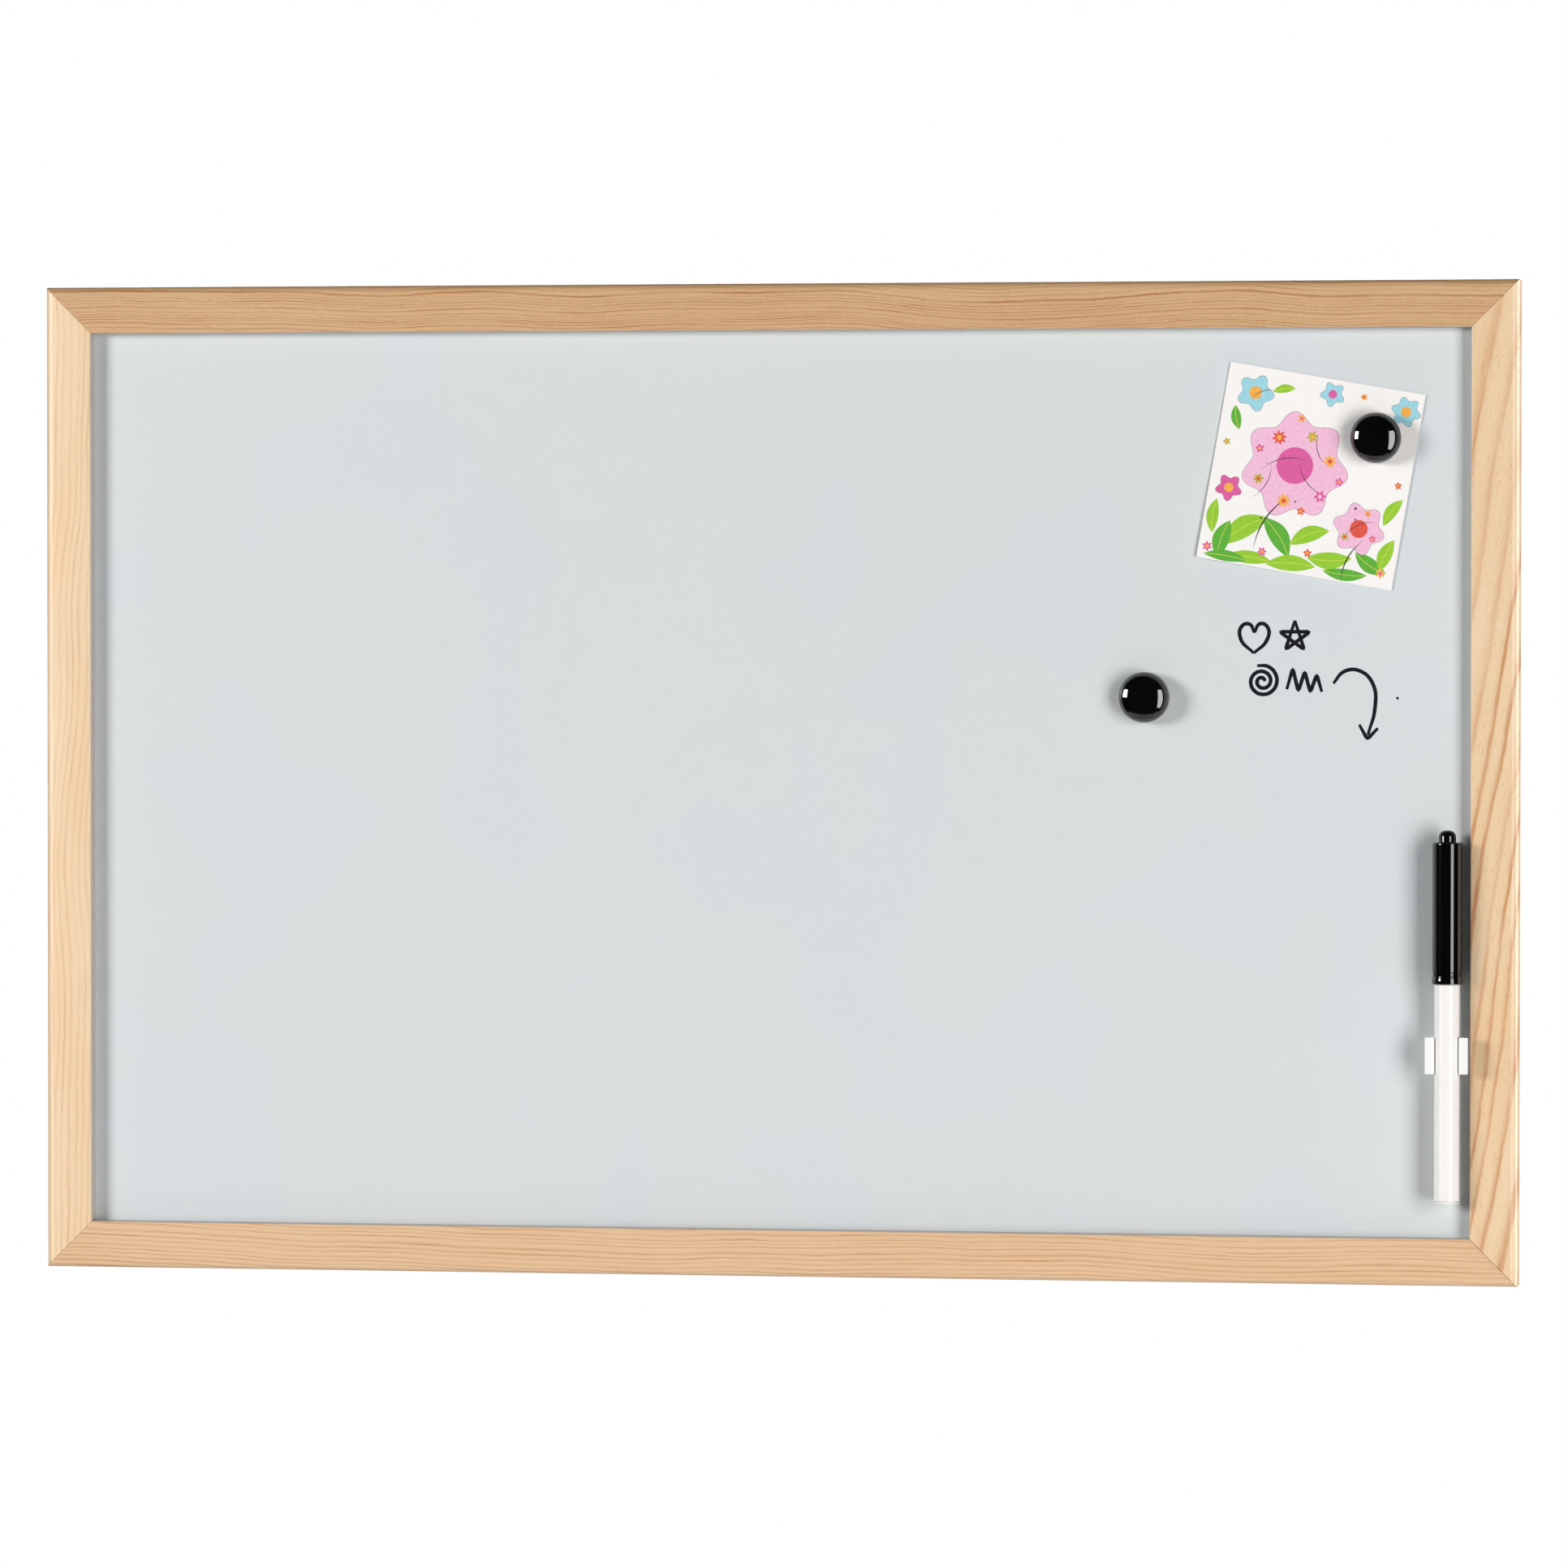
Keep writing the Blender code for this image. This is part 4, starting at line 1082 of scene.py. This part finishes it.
def makeLeafGroup():  # a pointed leaf with a midrib; also a stem when it is long and thin
    numbers = {"Turn": 0, "Length": 6, "Width": 2, "Curve": 0}
    group, given, out = newGroup("leafPrint", ("Place", "Centre"), numbers, ("Leaf", "Rib"))
    bench = Bench(group)
    x, y, _ = bench.split(bench.vector("SUBTRACT", given["Place"], given["Centre"]))
    cosine, sine = bench.math("COSINE", given["Turn"]), bench.math("SINE", given["Turn"])
    along = bench.plus(bench.times(x, cosine), bench.times(y, sine))
    across = bench.minus(bench.times(y, cosine), bench.times(x, sine))
    share = bench.math("DIVIDE", along, given["Length"])
    squared = bench.times(share, share)
    bent = bench.math("ABSOLUTE", bench.math("MULTIPLY_ADD", squared, given["Curve"], across))
    half = bench.times(given["Width"], bench.minus(1, squared))
    within = bench.math("LESS_THAN", bench.math("ABSOLUTE", share), 1)
    leaf = bench.remap(bench.minus(half, bent), -softEdge, softEdge)
    bench.link(bench.times(leaf, within), out["Leaf"])
    rib = bench.times(bench.remap(bent, *drawnLine), within)
    bench.link(rib, out["Rib"])
    return group


bigBlossoms = [  # x, y, radius, petals, notch, turn, petal colour, eye colour
    (-7, 3, 21.5, 7, 0.20, 0.4, pink, magenta),
    (22.5, -17.5, 10.5, 6, 0.24, 1, pink, red),
    (-27.5, 29, 7.5, 5, 0.30, 0.2, blue, orange),
    (3, 33.5, 5, 5, 0.32, 2, blue, magenta),
    (33, 31.5, 6, 6, 0.28, 0.9, blue, orange),
    (-31.5, -10, 5.4, 5, 0.32, 1.4, magenta, orange),
]
smallBlossoms = [
    (-15, 13, 2.9, 8, red, orange), (-2, 15.5, 2.3, 6, olive, orange),
    (6.5, 7, 2.6, 7, orange, red), (5, -7.5, 2.4, 6, magenta, pink),
    (-9, -11.5, 2.8, 8, orange, red), (-20.5, -4.5, 2.2, 6, olive, red),
    (-22, 7.5, 1.8, 5, magenta, orange), (-7.5, 22, 1.7, 5, orange, magenta),
    (-1.5, -14.5, 1.7, 5, red, orange), (11.5, -0.5, 1.8, 5, magenta, orange),
    (25, -11, 1.5, 5, orange, magenta), (17.5, -21.5, 1.6, 6, olive, red),
    (28.5, -20.5, 1.5, 5, magenta, orange), (-14, -33, 1.9, 6, magenta, orange),
    (4, -30.5, 1.7, 5, red, orange), (34, -33.5, 2, 6, orange, magenta),
    (15.5, 34.5, 1.5, 5, orange, red), (-35.5, 8, 1.5, 5, olive, orange),
    (-36, -34.5, 2, 6, magenta, orange), (35, 2, 1.5, 5, red, orange),
]
leaves = [  # x, y, turn, length, width, curve, colour
    (-23, -24.5, 0.7, 10.5, 4.2, 2, green), (-8.5, -25.5, 2.3, 9.5, 3.8, -1.5, leafGreen),
    (3, -23, 0.5, 8.5, 3.2, 1.5, green), (-31, -30.5, 1.4, 8, 3.4, 1, leafGreen),
    (13, -32, 0.15, 9, 3.4, -1.2, green), (29, -31, 2.7, 7.5, 3, 1, leafGreen),
    (34, -8.5, 1.1, 6.5, 2.4, 1, green), (-19, -36, 0.05, 9.5, 2.6, 0.8, green),
    (-33.5, 18, 1.9, 5, 2, 0.6, leafGreen), (-16.5, 32.5, 0.3, 4.6, 1.7, 0.6, green),
    (-2, -35.5, 0.1, 10, 3.2, 1, green), (20, -36.5, 0.05, 9, 2.4, -0.8, leafGreen),
    (-28, -37, 0, 9, 2.2, 0.6, leafGreen), (34.5, -26, 1.3, 7, 2.8, 0.8, green),
    (-36, -22, 1.6, 7, 2.4, 0.8, green),
]
stems = [  # long thin leaves make the vines
    (-15, -20, 1.15, 13, 0.30, 3), (20, -30, 1.25, 9, 0.28, 2),
    (-12, 5, 0.35, 10, 0.16, 3), (-1, -3, 2.4, 9, 0.16, 3),
    (-17, -6, 1.2, 8, 0.16, -2.5), (1, 10, 2, 7, 0.16, 2.5),
    (22, -16, 0.6, 7, 0.14, 2), (-25, 30, 0.5, 5, 0.14, 1.5),
]


def cardMaterial():
    bench = Finish("card_print", roughness=0.55)
    centre = (cardLow + cardHigh) / 2
    mapping = bench.add("ShaderNodeMapping", vector_type="TEXTURE")
    mapping.inputs["Location"].default_value = centre / mm
    mapping.inputs["Rotation"].default_value = (0, math.radians(cardLook["turn"]), 0)
    bench.link(bench.place, mapping.inputs["Vector"])
    u, _, v = bench.split(mapping.outputs[0])
    flat = bench.join(u, v, 0)
    blossomGroup, leafGroup = makeBlossomGroup(), makeLeafGroup()
    fine, cloud = bench.group(fineGroup, Place=flat, Fineness=0.8, Cloud=0.2)
    wash = bench.remap(fine, 0.3, 0.7, *cardLook["wash"])
    washed = bench.join(wash, wash, wash)
    colour = rgb(*cardLook["stock"])

    def stamp(under, mask, ink, washing=True):
        printed = bench.mix(1, rgb(*ink), washed, "MULTIPLY") if washing else rgb(*ink)
        return bench.mix(mask, under, printed)

    def leafMasks(x, y, turn, length, width, curve):
        values = {"Turn": turn, "Length": length, "Width": width, "Curve": curve}
        return bench.group(leafGroup, Place=flat, Centre=(x, y, 0), **values)

    def blossomMasks(x, y, radius, petals, notch, turn):
        values = {"Radius": radius, "Petals": petals, "Notch": notch, "Turn": turn}
        return bench.group(blossomGroup, Place=flat, Centre=(x, y, 0), **values)

    for *leafShape, ink in leaves:
        leaf, rib = leafMasks(*leafShape)
        colour = stamp(colour, leaf, ink)
        colour = stamp(colour, bench.times(rib, cardLook["ribStrength"]), cardLook["rib"], False)
    for *blossomShape, ink, eyeInk in bigBlossoms:
        petal, rim, eye = blossomMasks(*blossomShape)
        colour = stamp(colour, petal, ink)
        colour = stamp(colour, bench.times(rim, cardLook["rimStrength"]), cardLook["rim"], False)
        colour = stamp(colour, eye, eyeInk)
    for stemShape in stems:
        colour = stamp(colour, leafMasks(*stemShape)[0], outline, False)
    for x, y, radius, petals, ink, eyeInk in smallBlossoms:
        petal, rim, eye = blossomMasks(x, y, radius, petals, cardLook["smallNotch"], x)
        colour = stamp(colour, petal, ink, False)
        colour = stamp(colour, eye, eyeInk, False)
    seeds = bench.group(speckGroup, Place=flat, **cardLook["seeds"])[0]
    _, greenPart, bluePart = bench.split(colour)
    paleness = bench.math("MINIMUM", greenPart, bluePart)
    inked = bench.math("LESS_THAN", paleness, cardLook["paleFrom"])
    colour = stamp(colour, bench.times(seeds, inked), outline, False)
    bench.paint(colour)
    bench.emboss(fine, 0.01 * mm, 0.3)
    return bench.material


def makeCard():
    centre = (cardLow + cardHigh) / 2
    turn = math.radians(cardLook["turn"])
    side = (cardHigh.x - cardLow.x) / (math.cos(turn) + math.sin(turn))
    thickness = cardHigh.y - cardLow.y
    cells = cardLook["cells"]
    bpy.ops.mesh.primitive_grid_add(x_subdivisions=cells, y_subdivisions=cells, size=side, location=(0, 0, 0))
    card = freshPiece("card_sheet")
    settle(card, (0, 0, 0), (math.pi / 2, 0, 0))
    editMode(card)
    pick(card, "VERT", lambda vert: close(vert.co.x, -side / 2) and close(vert.co.z, -side / 2))
    bpy.ops.transform.translate(
        value=(0, -cardLook["lift"], 0), use_proportional_edit=True,
        proportional_edit_falloff="SMOOTH", proportional_size=cardLook["reach"],
    )
    objectMode()
    applyModifier(card, "SOLIDIFY", thickness=thickness, offset=0)
    settle(card, centre, (0, turn, 0))
    smooth(card, 30)
    seat(card, cardMaterial(), "board", "card_stock", "card")


makeCard()


# Studio: pale floor, two soft lamps in front, one that lights the right edge, and a fill for the back
studio = {
    "floorSize": 2.6,
    "floorDrop": 1.25,
    "floorColour": (244, 244, 242),
    "distance": 3,
    "ceiling": 0.02,
    "ceilingEdge": (0.55, 0.75),
    "room": 0.012,
}
lamps = [  # name, degrees from the front, then rise, width and height as shares of the distance, radiance
    ("lamp_left", -53, 0.17, 0.29, 0.32, 26.2),
    ("lamp_right", 47, -0.055, 0.36, 0.80, 8.7),
    ("lamp_edge", 115, 0.05, 0.5, 0.8, 6),
    ("lamp_back", 195, 0.25, 0.6, 0.6, 3),
]


def makeLamp(name, degrees, rise, width, height, radiance):
    away, angle = studio["distance"], math.radians(degrees)
    place = Vector((math.sin(angle), -math.cos(angle), rise)) * away + boardMiddle
    bpy.ops.object.light_add(type="AREA", location=place)
    lamp = bpy.context.object
    lamp.name = name
    lamp.data.shape = "RECTANGLE"
    lamp.data.size, lamp.data.size_y = width * away, height * away
    lamp.data.energy = math.pi * lamp.data.size * lamp.data.size_y * radiance
    lamp.rotation_euler = (boardMiddle - place).to_track_quat("-Z", "Y").to_euler()
    lamp.visible_camera = False


def makeWorld():
    world = bpy.data.worlds.new("studio_white")
    scene.world = world
    world.use_nodes = True
    bench = Bench(world.node_tree)
    world.node_tree.nodes.clear()
    height = bench.split(bench.add("ShaderNodeTexCoord").outputs["Generated"])[2]
    edge = studio["ceilingEdge"]
    room = bench.remap(height, *edge, studio["room"], studio["ceiling"], smoothly=True)
    eye = bench.add("ShaderNodeLightPath").outputs["Is Camera Ray"]
    strength = bench.plus(eye, bench.times(room, bench.minus(1, eye)))
    background = bench.add("ShaderNodeBackground")
    background.inputs["Color"].default_value = (1, 1, 1, 1)
    bench.link(strength, background.inputs["Strength"])
    bench.link(background.outputs[0], bench.add("ShaderNodeOutputWorld").inputs["Surface"])


def makeStudio():
    floorHeight = boardMiddle.z - studio["floorDrop"]
    bpy.ops.mesh.primitive_plane_add(size=studio["floorSize"], location=(0, 0, floorHeight))
    floor = freshPiece("studio_floor")
    bench = Finish("floor_pale", roughness=0.8)
    bench.sockets["Base Color"].default_value = rgb(*studio["floorColour"])
    dress(floor, bench.material)
    for lamp in lamps:
        makeLamp(*lamp)
    makeWorld()


makeStudio()


# Camera
cameraSizes = {  # turn in degrees
    "lens": 180.27,
    "place": (0.5037, -3.1334, -0.1197),
    "turn": (88.6835, -0.0331, 9.0813),
}


def makeCamera():
    turn = [math.radians(angle) for angle in cameraSizes["turn"]]
    bpy.ops.object.camera_add(location=cameraSizes["place"], rotation=turn)
    camera = bpy.context.object
    camera.data.lens = cameraSizes["lens"]
    camera.data.sensor_width = 36
    camera.data.sensor_fit = "HORIZONTAL"
    camera.data.clip_end = 50
    scene.camera = camera
    scene.view_settings.view_transform = "Standard"


makeCamera()
print("whiteboard: studio and camera set")
